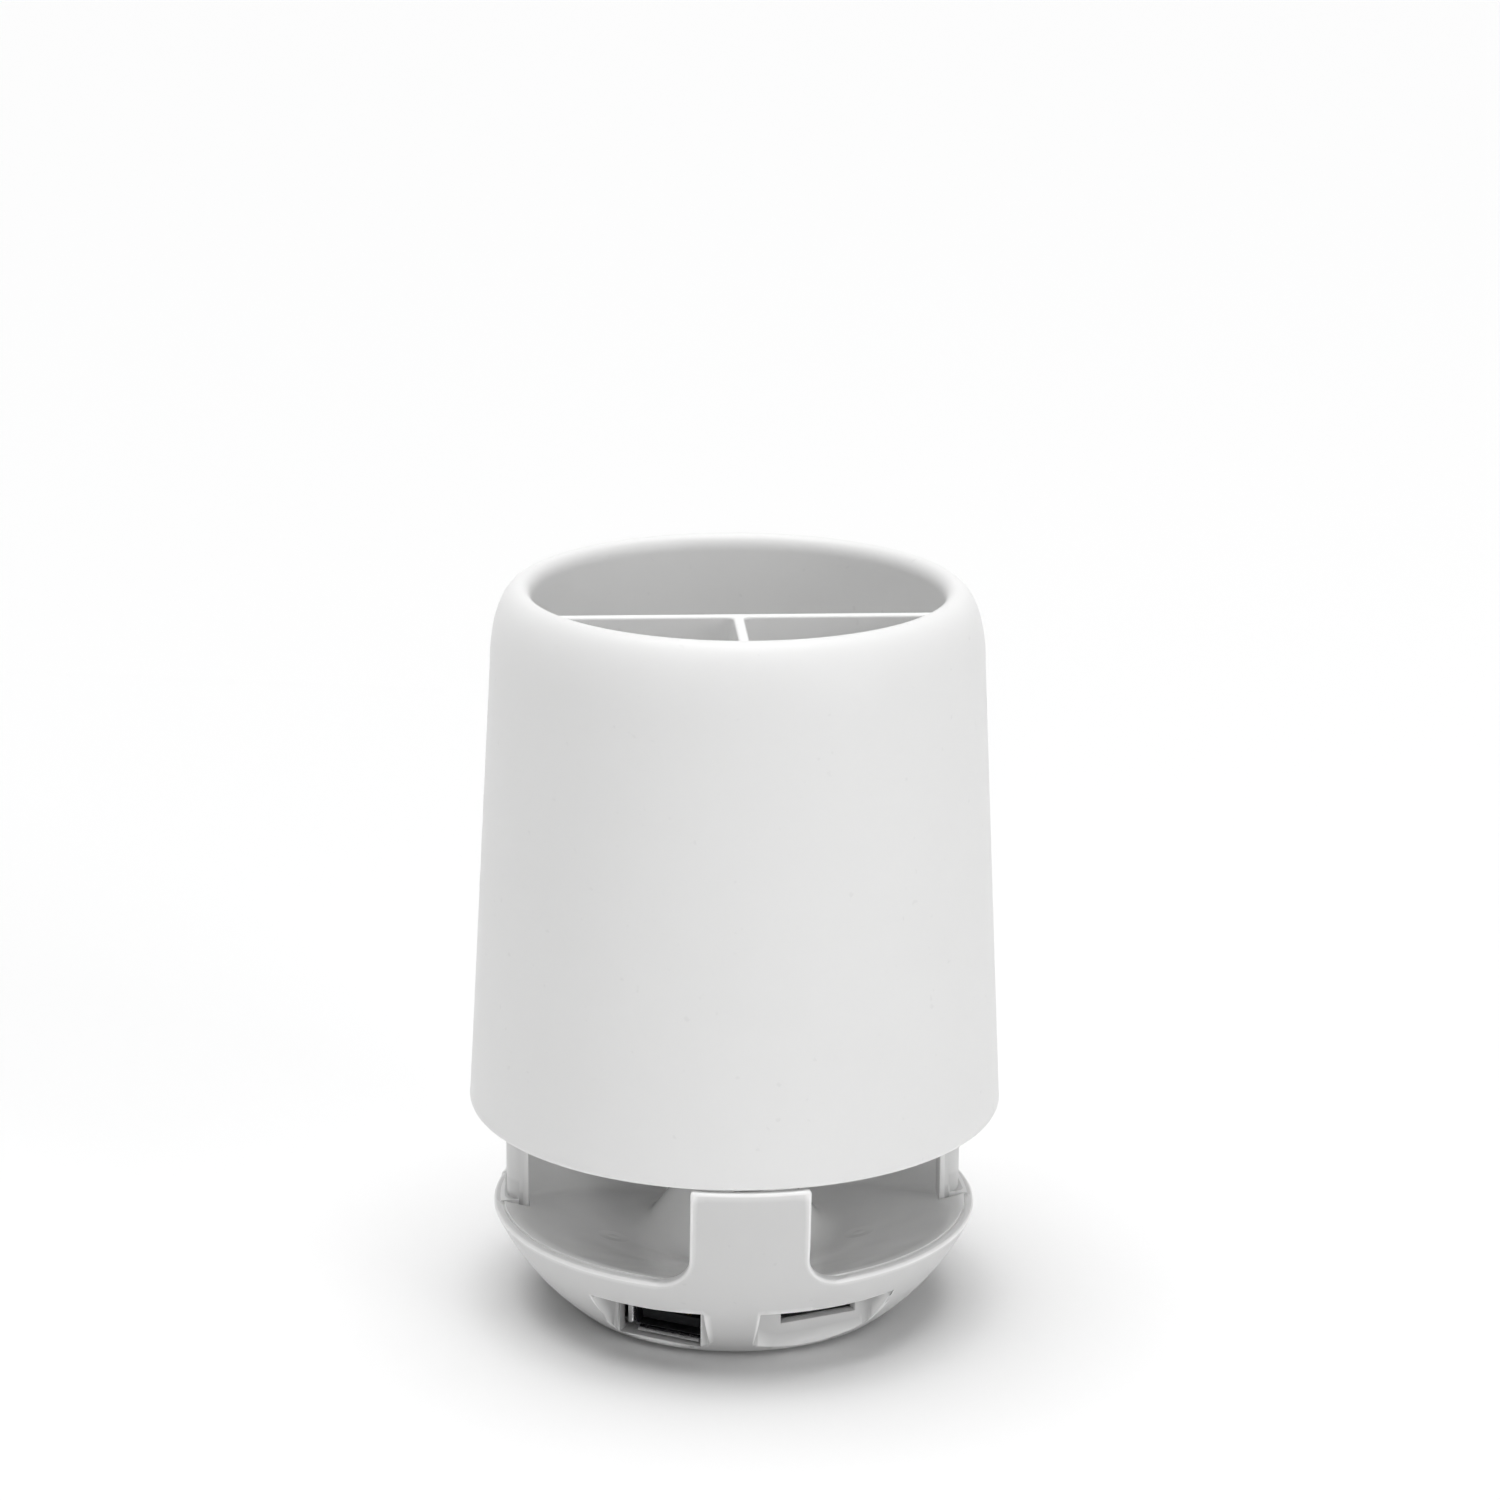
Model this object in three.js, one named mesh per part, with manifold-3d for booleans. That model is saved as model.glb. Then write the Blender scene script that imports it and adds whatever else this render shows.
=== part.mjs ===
// A desk pen holder: a translucent lampshade cup with three pen compartments stands on a ball-shaped
// speaker base with two open horn windows. Millimetres, +Z up, the front web towards -Y, and the
// origin at the centre of the base, on the surface that the part stands on.
import * as THREE from "three";
import { mergeVertices } from "three/addons/utils/BufferGeometryUtils.js";
import Module from "manifold-3d";

const wasm = await Module();
wasm.setup();

// Clearances shared by all pieces.
const restGap = 0.1; // between a piece and the face that it rests on
const seamGap = 0.3; // visible parting lines and loose fits
const overrun = 1; // how far a cutter runs past what it cuts
const roundSteps = 48; // facets round the large turned pieces
const smallSteps = 12; // facets round the small ones

// Cup and ball: the sizes that the rest follows.
const shadeRadius = 45; // at the lower edge
const shadeHeight = 89.3; // lower edge to crest
const ballOverhang = 0.4; // the ball is this much larger than the cup's lower edge
const ballRadius = shadeRadius + ballOverhang;
const ballFlatDepth = 9.9; // how much of the ball's lower half is cut off flat
const ballCentreRise = 0.3; // the ball's centre lies this far above the cup's lower edge
const baseHeight = ballRadius - ballFlatDepth; // flat underside to the cup's lower edge
const flatRadius = Math.sqrt(ballRadius ** 2 - (baseHeight + ballCentreRise) ** 2);

// Ball-shaped base.
const footHeight = 0.8; // the rubber ring stands this far below the flat underside
const bowlWall = 1.8;
const bowlFloor = 1.2; // thickness of the ledge that carries the base cover
const rimHeightShare = 0.236; // bowl's rim between the cone's foot and the cup's lower edge
const rimLip = 0.5; // the rim rises this much towards the inside
const webHalfWidth = 9.9;
const windowCorner = 5.3; // rounded lower corners of the windows, beside the web
const consoleWidthShare = 0.8546; // flat sides of the rear housing, of the ball's radius
const consoleHalfWidth = ballRadius * consoleWidthShare;
const postWidth = 3.7;
const postFront = -2.2; // front face of the posts that end the rear housing
const postDepth = 5.7;
const postCorner = 3.6;
const consoleRootDepth = 4; // how far the rear housing reaches down into the bowl

// Pen cup and lampshade.
const shadeTaper = 4; // how much narrower the shade is where the straight taper ends
const shadeShoulderHeight = 12.7; // end of the straight taper to the crest
const shoulderReach = 4.9; // end of the straight taper in to the crest
const rimRollWidth = 2.05; // crest in to the pen well
const shadeTopRadius = shadeRadius - shadeTaper;
const shadeTaperHeight = shadeHeight - shadeShoulderHeight;
const crestRadius = shadeTopRadius - shoulderReach;
const wellRadius = crestRadius - rimRollWidth; // pen well, just below the rolled rim
const rimRollDepth = 2.8;
const shadeWall = 2;
const shadeEdgeRound = 0.8;
const crestWall = 2.6;
const collarDepth = 20; // crest to the lower end of the collar inside the rim
const shadeStepHeight = 1.2; // inner ledge that carries the shade on the baffle
const shadeStepWidth = 1.6;
const cupFloorRoom = 2.2; // speaker magnet to the underside of the cup's floor
const cupWall = 1.6;
const cupFloor = 2;
const cupTaper = 0.9; // the well narrows by this much down to the floor
const cupCornerRound = 2.5;
const dividerDrop = 5.2; // crest to the top of the divider
const dividerWall = 1.8;

// Speaker baffle between cup and base.
const baffleThickness = 2.9;
const soundHoleRadius = 16.6;
const spigotHeight = 3; // ring that locates the cup's skirt
const spigotWall = 1.6;

// Speaker: nominal 40 mm driver, facing down.
const speakerRadius = 20;
const speakerFlange = 1.2;
const basketHeight = 9;
const basketTopRadius = 12.6;
const magnetRadius = 12.5;
const magnetHeight = 8;
const surroundOuter = 18.2;
const surroundInner = 15.2;
const surroundRise = 1.5;
const coneRootRadius = 6;
const coneRise = 6;
const coneThickness = 0.5;
const coilWall = 0.7;
const coilHeight = 2.2;
const dustCapRise = 2.2;
const dustCapThickness = 0.5;
const gasketThickness = 0.6;
const gasketWidth = 1.6;

// Grille under the driver.
const grilleThickness = 1.1;
const grilleHubRadius = 3.2;
const grilleRingWidth = 1.2;
const grilleRingShares = [1, 0.6]; // outer radii of the rings as shares of the grille's radius
const grilleSpokes = 6;
const grilleSpokeWidth = 1.2;

// Horn deck: dished floor with a central diffuser cone and a curved back wall.
const deckWall = 1.5;
const deckGap = 0.2; // between the deck's edge and the bowl
const coneFootRadius = 16;
const coneHeightShare = 0.809; // of the height between the cone's foot and the cup's lower edge
const coneTipRadius = 2.4;
const coneTipStartShare = 0.35; // where the rounded tip starts, of a quarter turn
const coneFootRound = 2.6;
const coneFootShare = 0.7; // how far the foot's round runs up the flank
const backWallRadiusShare = 1.0595; // of the ball's radius
const backWallDepthShare = 0.3722; // front face behind the middle, of the ball's radius
const backWallRadius = ballRadius * backWallRadiusShare;
const backWallSagitta = ballRadius * backWallDepthShare;
const backWallThickness = 1.6;
const deckBossRadius = 2.4;
const deckBossInset = 5.2; // boss axes inside the main board's edge
const deckBossY = -8;

// Socket shells under the main board.
const boardThickness = 1.2;
const boardDeckGap = 0.3; // main board below the deck's screw bosses
const usbShellWidth = 13.1;
const usbShellHeight = 5.7;
const usbShellDepth = 13;
const usbShellWall = 0.3;
const usbShellRecess = 1.1; // metal shell behind the socket wall's face
const usbShellCentre = 1.05; // along the wall, from the recess's middle line
const usbShellSink = 0.15; // how far the shell reaches down into the ledge
const usbTongueGap = 0.85; // tongue to the shell's inner side
const usbTongueThickness = 1.8;
const usbTongueSetback = 1.6;
const usbTongueDrop = 0.6;
const usbBlockDepth = 3.4;
const cardShellWidth = 14.2;
const cardShellHeight = 2.5;
const cardShellDepth = 12;
const cardShellWall = 0.25;
const cardShellCentre = 2.4;
const cardTrayThickness = 0.6;
const shellGap = 0.62; // rear corner of the socket shell to the middle plane
const cardGap = 0.9; // rear corner of the card socket to the middle plane

// Socket recesses in the bowl. Turns are seen from above, from the front towards the right.
const browRise = 1.6; // main board up to the top of the recesses
const portWallOut = 1.18; // flat socket walls outside the edge of the flat underside
const portWallDistance = flatRadius + portWallOut; // flat socket walls to the vertical axis
const portWallThickness = 2;
const browRoof = 1.2; // thickness of the bowl over the recesses
const usbHoleGapLeft = 1.74; // socket shell to the edges of its opening
const usbHoleGapRight = 0.17;
const usbWallGapLeft = 0.56; // opening to the side walls of the recess
const usbWallGapRight = 1.8;
const usbHoleLeft = usbShellCentre - usbShellWidth / 2 - usbHoleGapLeft;
const usbHoleRight = usbShellCentre + usbShellWidth / 2 + usbHoleGapRight;
const usbWallLeft = usbHoleLeft - usbWallGapLeft;
const usbWallRight = usbHoleRight + usbWallGapRight;
const usbFlareLeft = 1; // how much wider the recess is where it meets the ball
const usbFlareRight = 2.7;
const usbHoleHeight = 6.5;
const usbHoleFoot = 1.5; // hole's lower edge above the flat underside
const cardHoleLap = 0.3; // the socket wall laps over the sides of the card shell
const cardWallGapLeft = 5.1; // slot to the side walls of the recess
const cardWallGapRight = 2.3;
const cardHoleLeft = cardShellCentre - cardShellWidth / 2 + cardHoleLap;
const cardHoleRight = cardShellCentre + cardShellWidth / 2 - cardHoleLap;
const cardWallLeft = cardHoleLeft - cardWallGapLeft;
const cardWallRight = cardHoleRight + cardWallGapRight;
const cardFlareLeft = 2.4;
const cardFlareRight = 1.8;
const cardHoleHeight = 2.4;
const recessReach = 9; // socket wall to a point well outside the ball

// Electronics.
const boardInset = 0.9; // main board's edge behind the socket walls
const boardRadius = portWallDistance - portWallThickness - boardInset;
const deckBossX = boardRadius - deckBossInset;
const batteryWidth = 38;
const batteryDepthShare = 0.62; // of the room between the deck's back wall and the control board
const batteryFoot = 4; // above the main board
const batteryHeadroom = 4; // below the baffle
const batteryRound = 2;
const controlBoardMargin = 5.65; // beyond the outer button axes
const controlBoardFoot = 2.4; // below the lower row's axis
const controlBoardSetback = 8.1; // rear panel's face to the control board's rear face

// Rear control panel: a flat recess in the ball, with four push-buttons in a row.
const panelSetback = 5.4; // flat panel inside the ball's surface
const panelDistance = ballRadius - panelSetback;
const panelBrowDrop = 3.3; // top of the panel's recess below the cup's lower edge
const panelFlare = 2.7;
const panelWall = 1.8;
const panelRootDepth = 8.7; // how far the backing plate reaches down below the bowl's rim
const buttonRadius = 3.5;
const buttonClearance = 0.2;
const buttonPitch = 8.9;
const panelHalfWidth = 2 * buttonPitch;
const buttonBrow = 5.5; // button axes below the top of the recess
const buttonProud = 1;
const buttonDome = 0.3;
const buttonTravel = 0.6;
const buttonFlangeWidth = 0.7;
const buttonFlangeThickness = 0.9;
const buttonStemRadius = 1.5;
const tactSize = 6;
const tactHeight = 3.4;
const tactPlungerRadius = 1.7;
const tactPlungerHeight = 0.7;
const rowPitch = 6.8; // button axes to the charge socket and power switch
const chargeCentre = -7;
const chargeWidth = 7.6;
const chargeHeight = 2.6;
const chargeDepth = 5.6;
const chargeWall = 0.3;
const chargeTongueThickness = 0.7;
const switchCentre = 7;
const switchTravel = 2;
const switchKnobWidth = 3;
const switchKnobHeight = 2.2;
const switchKnobProud = 1.1;
const switchPlateWidth = 7.6;
const switchPlateHeight = 3.6;
const switchPlateThickness = 0.7;
const switchLeverWidth = 1.4;
const switchCanWidth = 8.6;
const switchCanHeight = 3.6;
const switchCanDepth = 3.4;
const lightPipeRadius = 1;
const lightPipeHeadRadius = 1.8;
const lightPipeHeadThickness = 1;
const lightPipeTail = 4.4;

// Lamp: a ring of light-emitting diodes between cup and shade.
const lampBoardSkirtGap = 1.35; // to the skirt of the pen cup
const lampBoardStepGap = 0.8; // to the shade's inner ledge
const lampBoardThickness = 1.2;
const lampBoardRise = 1; // height of the pads on the baffle under the ring
const lampCount = 8;
const lampWidth = 3.5;
const lampDepth = 2.8;
const lampHeight = 1.4;
const lampPadRadius = 1.6;
const lampPadCount = 4;

// Base cover, rubber foot and screws.
const coverInset = 2.52; // cover's edge inside the edge of the flat underside
const coverRadius = flatRadius - coverInset;
const coverThickness = 1.1;
const coverLedge = 3; // width of the ledge that carries the cover
const coverOpening = coverRadius - coverLedge;
const coverBossRadius = 2.3;
const coverScrewInset = 1.4;
const coverScrewCircle = coverRadius - coverScrewInset;
const coverScrewTurns = [105, 255, 358];
const footInset = 4; // rubber ring inside the cover's edge
const footWidth = 3.8;
const footOuter = coverRadius - footInset;
const footInner = footOuter - footWidth;
const footGroove = 0.4;
const screwRadius = 0.9;
const screwHeadRadius = 1.7;
const screwHeadHeight = 0.7;
const coverScrewLength = 4.6;
const baffleScrewLength = 7;
const baffleScrewHeadRadius = 2.2;
const baffleScrewHeadHeight = 1.3;
const boardScrewLength = 3;
const baffleBossRadius = 2.8;
const baffleScrewInset = 6.3; // axes of the side screws inside the shade's lower edge
const baffleScrewTurn = 118.6;
const webScrewInset = 5.6;
const webScrewDistance = shadeRadius - webScrewInset;

// Inner leads.
const leadRadius = 0.7;
const leadSides = 8;
const leadSteps = 22;
const leadHoleRadius = 1.3;
const leadRoom = 0.5; // between a lead and the piece that it passes
const leadDropShares = [5, 3, 4]; // heights of the bends in lead radii
const speakerLeadTurn = 138.7;
const speakerLeadEndShare = 0.95;
const lampLeadTurn = -149.9;
const lampLeadEndShare = 0.86;

// Heights, from the underside up.
const cupEdgeZ = footHeight + baseHeight;
const ballZ = cupEdgeZ + ballCentreRise;
const baseTopZ = cupEdgeZ - seamGap;
const coverTopZ = footHeight + coverThickness;
const ledgeTopZ = coverTopZ + restGap + bowlFloor;
const boardZ = ledgeTopZ - usbShellSink + usbShellHeight + restGap;
const boardTopZ = boardZ + boardThickness;
const browZ = boardTopZ + browRise;
const bossEndZ = boardTopZ + boardDeckGap;
const coneFootZ = bossEndZ + restGap + deckWall;
const coneRoom = cupEdgeZ - coneFootZ;
const coneHeight = coneRoom * coneHeightShare;
const rimZ = coneFootZ + coneRoom * rimHeightShare;
const rimInnerZ = rimZ + rimLip;
const panelBrowZ = cupEdgeZ - panelBrowDrop;
const buttonZ = panelBrowZ - buttonBrow;
const lowerRowZ = buttonZ - rowPitch;
const baffleZ = baseTopZ + restGap;
const baffleTopZ = baffleZ + baffleThickness;
const gasketZ = baffleTopZ + restGap;
const flangeZ = gasketZ + gasketThickness + restGap;
const flangeTopZ = flangeZ + speakerFlange;
const basketTopZ = flangeTopZ + basketHeight;
const magnetTopZ = basketTopZ + restGap + magnetHeight;
const cupFloorZ = magnetTopZ + cupFloorRoom + cupFloor;
const crestZ = cupEdgeZ + shadeHeight;
const collarEndZ = crestZ - collarDepth;

// Distances from the vertical axis.
const innerBall = ballRadius - bowlWall;
const panelBackY = panelDistance - panelWall;
const controlBoardY = panelDistance - controlBoardSetback;
const wellFloorRadius = wellRadius - cupTaper;
const skirtInner = wellFloorRadius - restGap;
const spigotOuter = skirtInner - seamGap;
const spigotInner = spigotOuter - spigotWall;
const stepInner = shadeRadius - shadeWall - shadeStepWidth;
const lampBoardInner = skirtInner + cupWall + lampBoardSkirtGap;
const lampBoardOuter = stepInner - lampBoardStepGap;
const lampCircle = (lampBoardInner + lampBoardOuter) / 2;

/** Turn of a socket whose shell has its rear corner a given gap from the middle plane. */
function socketTurn(corner, out, gap) {
  const angle = Math.asin(gap / Math.hypot(corner, out)) + Math.atan2(corner, out);
  return THREE.MathUtils.radToDeg(angle);
}
const usbFront = portWallDistance - usbShellRecess;
const cardFront = portWallDistance - portWallThickness - buttonClearance;
const usbCorner = usbShellCentre + usbShellWidth / 2;
const cardCorner = cardShellWidth / 2 - cardShellCentre;
const usbTurn = -socketTurn(usbCorner, usbFront - usbShellDepth, shellGap);
const cardTurn = socketTurn(cardCorner, cardFront - cardShellDepth, cardGap);

/** Radius of a ball of the given size where it is cut at height z. */
function ballRadiusAt(radius, z) {
  return Math.sqrt(radius * radius - (z - ballZ) * (z - ballZ));
}

const rimInner = ballRadiusAt(innerBall, rimInnerZ);
const deckRadius = rimInner - deckGap;

/** A closed solid from a closed geometry, turned face out. */
function solid(geometry) {
  const bare = geometry.index ? geometry.toNonIndexed() : geometry.clone();
  const plain = new THREE.BufferGeometry().setAttribute("position", bare.getAttribute("position"));
  const merged = mergeVertices(plain, overrun / 10000);
  const vertProperties = merged.attributes.position.array;
  const triVerts = new Uint32Array(merged.index.array);
  const make = () => new wasm.Manifold(new wasm.Mesh({ numProp: 3, vertProperties, triVerts }));
  const made = make();
  if (made.volume() > 0) return made;
  for (let i = 0; i < triVerts.length; i += 3) {
    const second = triVerts[i + 1];
    triVerts[i + 1] = triVerts[i + 2];
    triVerts[i + 2] = second;
  }
  return make();
}

/** The geometry of a solid. */
function geometryOf(body) {
  const { vertProperties, triVerts } = body.getMesh();
  const geometry = new THREE.BufferGeometry();
  geometry.setAttribute("position", new THREE.BufferAttribute(new Float32Array(vertProperties), 3));
  geometry.setIndex(new THREE.BufferAttribute(new Uint32Array(triVerts), 1));
  return geometry;
}

/** A solid turned about Z from a list of [radius, height] points. */
function turned(points, steps = roundSteps) {
  const profile = points.map(([radius, height]) => new THREE.Vector2(radius, height));
  const closes = points[0][0] !== 0 || points[points.length - 1][0] !== 0;
  if (closes) profile.push(profile[0].clone());
  return solid(new THREE.LatheGeometry(profile, steps).rotateX(Math.PI / 2));
}

/** A straight block between two corners. */
function block(x0, x1, y0, y1, z0, z1) {
  const geometry = new THREE.BoxGeometry(x1 - x0, y1 - y0, z1 - z0);
  return solid(geometry.translate((x0 + x1) / 2, (y0 + y1) / 2, (z0 + z1) / 2));
}

/** An upright post of round section. */
function post(x, y, radius, z0, z1, steps = smallSteps) {
  const geometry = new THREE.CylinderGeometry(radius, radius, z1 - z0, steps).rotateX(Math.PI / 2);
  return solid(geometry.translate(x, y, (z0 + z1) / 2));
}

/** A round pin along Y. */
function pinAlongY(x, z, radius, y0, y1, steps = smallSteps) {
  const geometry = new THREE.CylinderGeometry(radius, radius, y1 - y0, steps);
  return solid(geometry.translate(x, (y0 + y1) / 2, z));
}

/** An upright prism over a plan outline, between two heights. */
function prism(shape, z0, z1, curveSteps = 8) {
  const settings = { depth: z1 - z0, bevelEnabled: false, curveSegments: curveSteps };
  return solid(new THREE.ExtrudeGeometry(shape, settings).translate(0, 0, z0));
}

/** A plan or side outline with straight edges. */
function outline(points) {
  return new THREE.Shape(points.map(([x, y]) => new THREE.Vector2(x, y)));
}

/** A rectangle with four corners of one radius. */
function roundedRectangle(x0, x1, y0, y1, corner) {
  const shape = new THREE.Shape();
  shape.moveTo(x0 + corner, y0);
  shape.lineTo(x1 - corner, y0);
  shape.absarc(x1 - corner, y0 + corner, corner, -Math.PI / 2, 0);
  shape.absarc(x1 - corner, y1 - corner, corner, 0, Math.PI / 2);
  shape.absarc(x0 + corner, y1 - corner, corner, Math.PI / 2, Math.PI);
  shape.absarc(x0 + corner, y0 + corner, corner, Math.PI, 1.5 * Math.PI);
  return shape;
}

/** A point that lies across and out from the axis, in a frame turned from the front to the right. */
function turnedPoint(turn, across, out) {
  const angle = THREE.MathUtils.degToRad(turn);
  return [
    across * Math.cos(angle) + out * Math.sin(angle),
    across * Math.sin(angle) - out * Math.cos(angle),
  ];
}

/** An upright prism over an outline given across and out from the axis. */
function turnedPrism(turn, points, z0, z1) {
  return prism(outline(points.map(([across, out]) => turnedPoint(turn, across, out))), z0, z1);
}

/** A block given across and out from the axis. */
function turnedBlock(turn, across0, across1, out0, out1, z0, z1) {
  const corners = [[across0, out0], [across1, out0], [across1, out1], [across0, out1]];
  return turnedPrism(turn, corners, z0, z1);
}

/** The same solid on the other side of the middle plane. */
function mirrored(body) {
  return body.mirror([1, 0, 0]);
}

/** A ring about Z, of square section. */
function ring(inner, outer, z0, z1, steps = roundSteps / 2) {
  return turned([[inner, z0], [outer, z0], [outer, z1], [inner, z1]], steps);
}

const materials = {
  shade: { color: 0xf4f4f2, roughness: 0.45, metalness: 0 },
  housing: { color: 0xeeeeec, roughness: 0.5, metalness: 0 },
  deck: { color: 0xe4e4e2, roughness: 0.2, metalness: 0 },
  rubber: { color: 0x2b2b2c, roughness: 0.9, metalness: 0 },
  steel: { color: 0xc4c6c8, roughness: 0.3, metalness: 1 },
  black: { color: 0x111112, roughness: 0.5, metalness: 0 },
  board: { color: 0x14532b, roughness: 0.6, metalness: 0 },
  cone: { color: 0x1c1c1e, roughness: 0.8, metalness: 0 },
  magnet: { color: 0x3a3b3d, roughness: 0.5, metalness: 0.8 },
  foil: { color: 0x8f9499, roughness: 0.4, metalness: 0.3 },
  copper: { color: 0xa8693a, roughness: 0.4, metalness: 0.9 },
  lamp: { color: 0xfff6d8, roughness: 0.35, metalness: 0 },
  button: { color: 0xd9dadb, roughness: 0.4, metalness: 0 },
};
for (const [name, look] of Object.entries(materials)) {
  materials[name] = new THREE.MeshStandardMaterial(look);
}

const holder = new THREE.Group();

/** Adds a named sub-part to the holder. */
function add(name, body, material) {
  const mesh = new THREE.Mesh(geometryOf(body), material.clone());
  mesh.name = name;
  holder.add(mesh);
  return mesh;
}

/** Outer radius of the shade's straight flank at a height. */
function shadeRadiusAt(z) {
  return shadeRadius - ((shadeRadius - shadeTopRadius) * (z - cupEdgeZ)) / shadeTaperHeight;
}

/** Inner radius of the pen well at a height. */
function wellRadiusAt(z) {
  const share = (crestZ - rimRollDepth - z) / (crestZ - rimRollDepth - cupFloorZ);
  return wellRadius - cupTaper * share;
}

/** Points on a quarter of an ellipse, from angle a to b in quarter turns. */
function ellipseArc(centreR, centreZ, sizeR, sizeZ, a, b, steps) {
  const points = [];
  for (let i = 0; i <= steps; i += 1) {
    const angle = ((a + ((b - a) * i) / steps) * Math.PI) / 2;
    points.push([centreR + sizeR * Math.cos(angle), centreZ + sizeZ * Math.sin(angle)]);
  }
  return points;
}

// The lampshade: straight taper, soft shoulder, rolled rim and a collar down inside the well.
function makeShade() {
  const shoulderZ = cupEdgeZ + shadeTaperHeight;
  const shoulderR = shadeRadiusAt(shoulderZ);
  const stepZ = baffleTopZ + restGap;
  const innerTopZ = crestZ - crestWall;
  const innerOuter = shoulderR - shadeWall;
  const innerInner = wellRadius + shadeWall;
  const middle = (innerOuter + innerInner) / 2;
  const half = (innerOuter - innerInner) / 2;
  const edgeRound = shadeEdgeRound;
  const stepTopZ = stepZ + shadeStepHeight;
  const shoulderRise = crestZ - shoulderZ;
  const shoulder = ellipseArc(crestRadius, shoulderZ, shoulderR - crestRadius, shoulderRise, 0, 1, 7);
  const rollZ = crestZ - rimRollDepth;
  const rimRoll = ellipseArc(crestRadius, rollZ, crestRadius - wellRadius, rimRollDepth, 1, 2, 4);
  const points = [
    [shadeRadius - shadeWall, cupEdgeZ],
    ...ellipseArc(shadeRadius - edgeRound, cupEdgeZ + edgeRound, edgeRound, edgeRound, -1, 0, 3),
    [shoulderR, shoulderZ],
    ...shoulder.slice(1),
    ...rimRoll.slice(1),
    [wellRadiusAt(collarEndZ), collarEndZ],
    [wellRadiusAt(collarEndZ) + shadeWall, collarEndZ],
    [innerInner, innerTopZ - half],
    ...ellipseArc(middle, innerTopZ - half, half, half, 2, 0, 4).slice(1),
    [shadeRadiusAt(stepTopZ + shadeStepWidth) - shadeWall, stepTopZ + shadeStepWidth],
    [shadeRadiusAt(stepTopZ) - shadeWall - shadeStepWidth, stepTopZ],
    [shadeRadiusAt(stepZ) - shadeWall - shadeStepWidth, stepZ],
    [shadeRadiusAt(stepZ) - shadeWall, stepZ],
  ];
  return turned(points);
}
add("cup_shade", makeShade(), materials.shade);

// The pen cup: wall, floor and a skirt that stands on the baffle and closes the speaker's chamber.
function makePenCup() {
  const topZ = collarEndZ - restGap;
  const topInner = wellRadiusAt(topZ);
  const floorInner = wellRadiusAt(cupFloorZ);
  const underZ = cupFloorZ - cupFloor;
  const corner = cupCornerRound;
  return turned([
    [0, underZ],
    [skirtInner, underZ],
    [skirtInner, baffleTopZ + restGap],
    [skirtInner + cupWall, baffleTopZ + restGap],
    [topInner + cupWall, topZ],
    [topInner, topZ],
    [floorInner, cupFloorZ + corner],
    ...ellipseArc(floorInner - corner, cupFloorZ + corner, corner, corner, 0, -1, 4).slice(1),
    [0, cupFloorZ],
  ]);
}
add("pen_cup", makePenCup(), materials.shade);

// The divider: a cross wall on the middle line and one wall to the front, stood on the cup's floor.
function makeDivider() {
  const topZ = crestZ - dividerDrop;
  const footZ = cupFloorZ + restGap;
  const reach = wellRadiusAt(footZ) - seamGap;
  const half = dividerWall / 2;
  const round = block(-reach, reach, -half, half, footZ, topZ);
  const front = block(-half, half, -reach, half, footZ, topZ);
  const limit = turned([
    [0, footZ],
    [reach - cupCornerRound, footZ],
    [reach, footZ + cupCornerRound],
    [reach, topZ + overrun],
    [0, topZ + overrun],
  ]);
  return round.add(front).intersect(limit);
}
add("pen_divider", makeDivider(), materials.shade);

// The baffle: a plate that closes the shade from below and carries the speaker.
const sideScrewCircle = shadeRadius - baffleScrewInset;
const bossPlaces = [
  ["front", 0, -webScrewDistance],
  ["left", ...turnedPoint(-baffleScrewTurn, 0, sideScrewCircle)],
  ["right", ...turnedPoint(baffleScrewTurn, 0, sideScrewCircle)],
];
const speakerLeadCircle = (speakerRadius + spigotInner) / 2;
const [speakerLeadX, speakerLeadY] = turnedPoint(speakerLeadTurn, 0, speakerLeadCircle);
const [lampLeadX, lampLeadY] = turnedPoint(lampLeadTurn, 0, lampCircle);
function makeBaffle() {
  const edge = shadeRadiusAt(baffleTopZ) - shadeWall - seamGap;
  const steps = roundSteps / 2;
  const lowZ = baffleZ - overrun;
  const highZ = baffleTopZ + overrun;
  let plate = turned([[0, baffleZ], [edge, baffleZ], [edge, baffleTopZ], [0, baffleTopZ]]);
  plate = plate.add(ring(spigotInner, spigotOuter, baffleTopZ - overrun, baffleTopZ + spigotHeight));
  plate = plate.subtract(post(0, 0, soundHoleRadius, lowZ, highZ, steps));
  const rebateZ = baffleZ + grilleThickness + restGap;
  plate = plate.subtract(post(0, 0, soundHoleRadius + overrun, lowZ, rebateZ, steps));
  for (const [, x, y] of bossPlaces) {
    const sink = baffleTopZ - baffleScrewHeadHeight - restGap;
    plate = plate.subtract(post(x, y, screwRadius + buttonClearance, lowZ, highZ));
    plate = plate.subtract(post(x, y, baffleScrewHeadRadius + buttonClearance, sink, highZ));
  }
  plate = plate.subtract(post(speakerLeadX, speakerLeadY, leadHoleRadius, lowZ, highZ));
  plate = plate.subtract(post(lampLeadX, lampLeadY, leadHoleRadius, lowZ, highZ));
  for (let i = 0; i < lampPadCount; i += 1) {
    const angle = ((i + 0.5) * 2 * Math.PI) / lampPadCount;
    const [x, y] = [lampCircle * Math.sin(angle), lampCircle * Math.cos(angle)];
    const pad = post(x, y, lampPadRadius, baffleTopZ - overrun, baffleTopZ + lampBoardRise);
    plate = plate.add(pad);
  }
  return plate;
}
add("speaker_baffle", makeBaffle(), materials.housing);
const baffleScrewZ = baffleTopZ - baffleScrewHeadHeight; // underside of the heads
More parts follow.
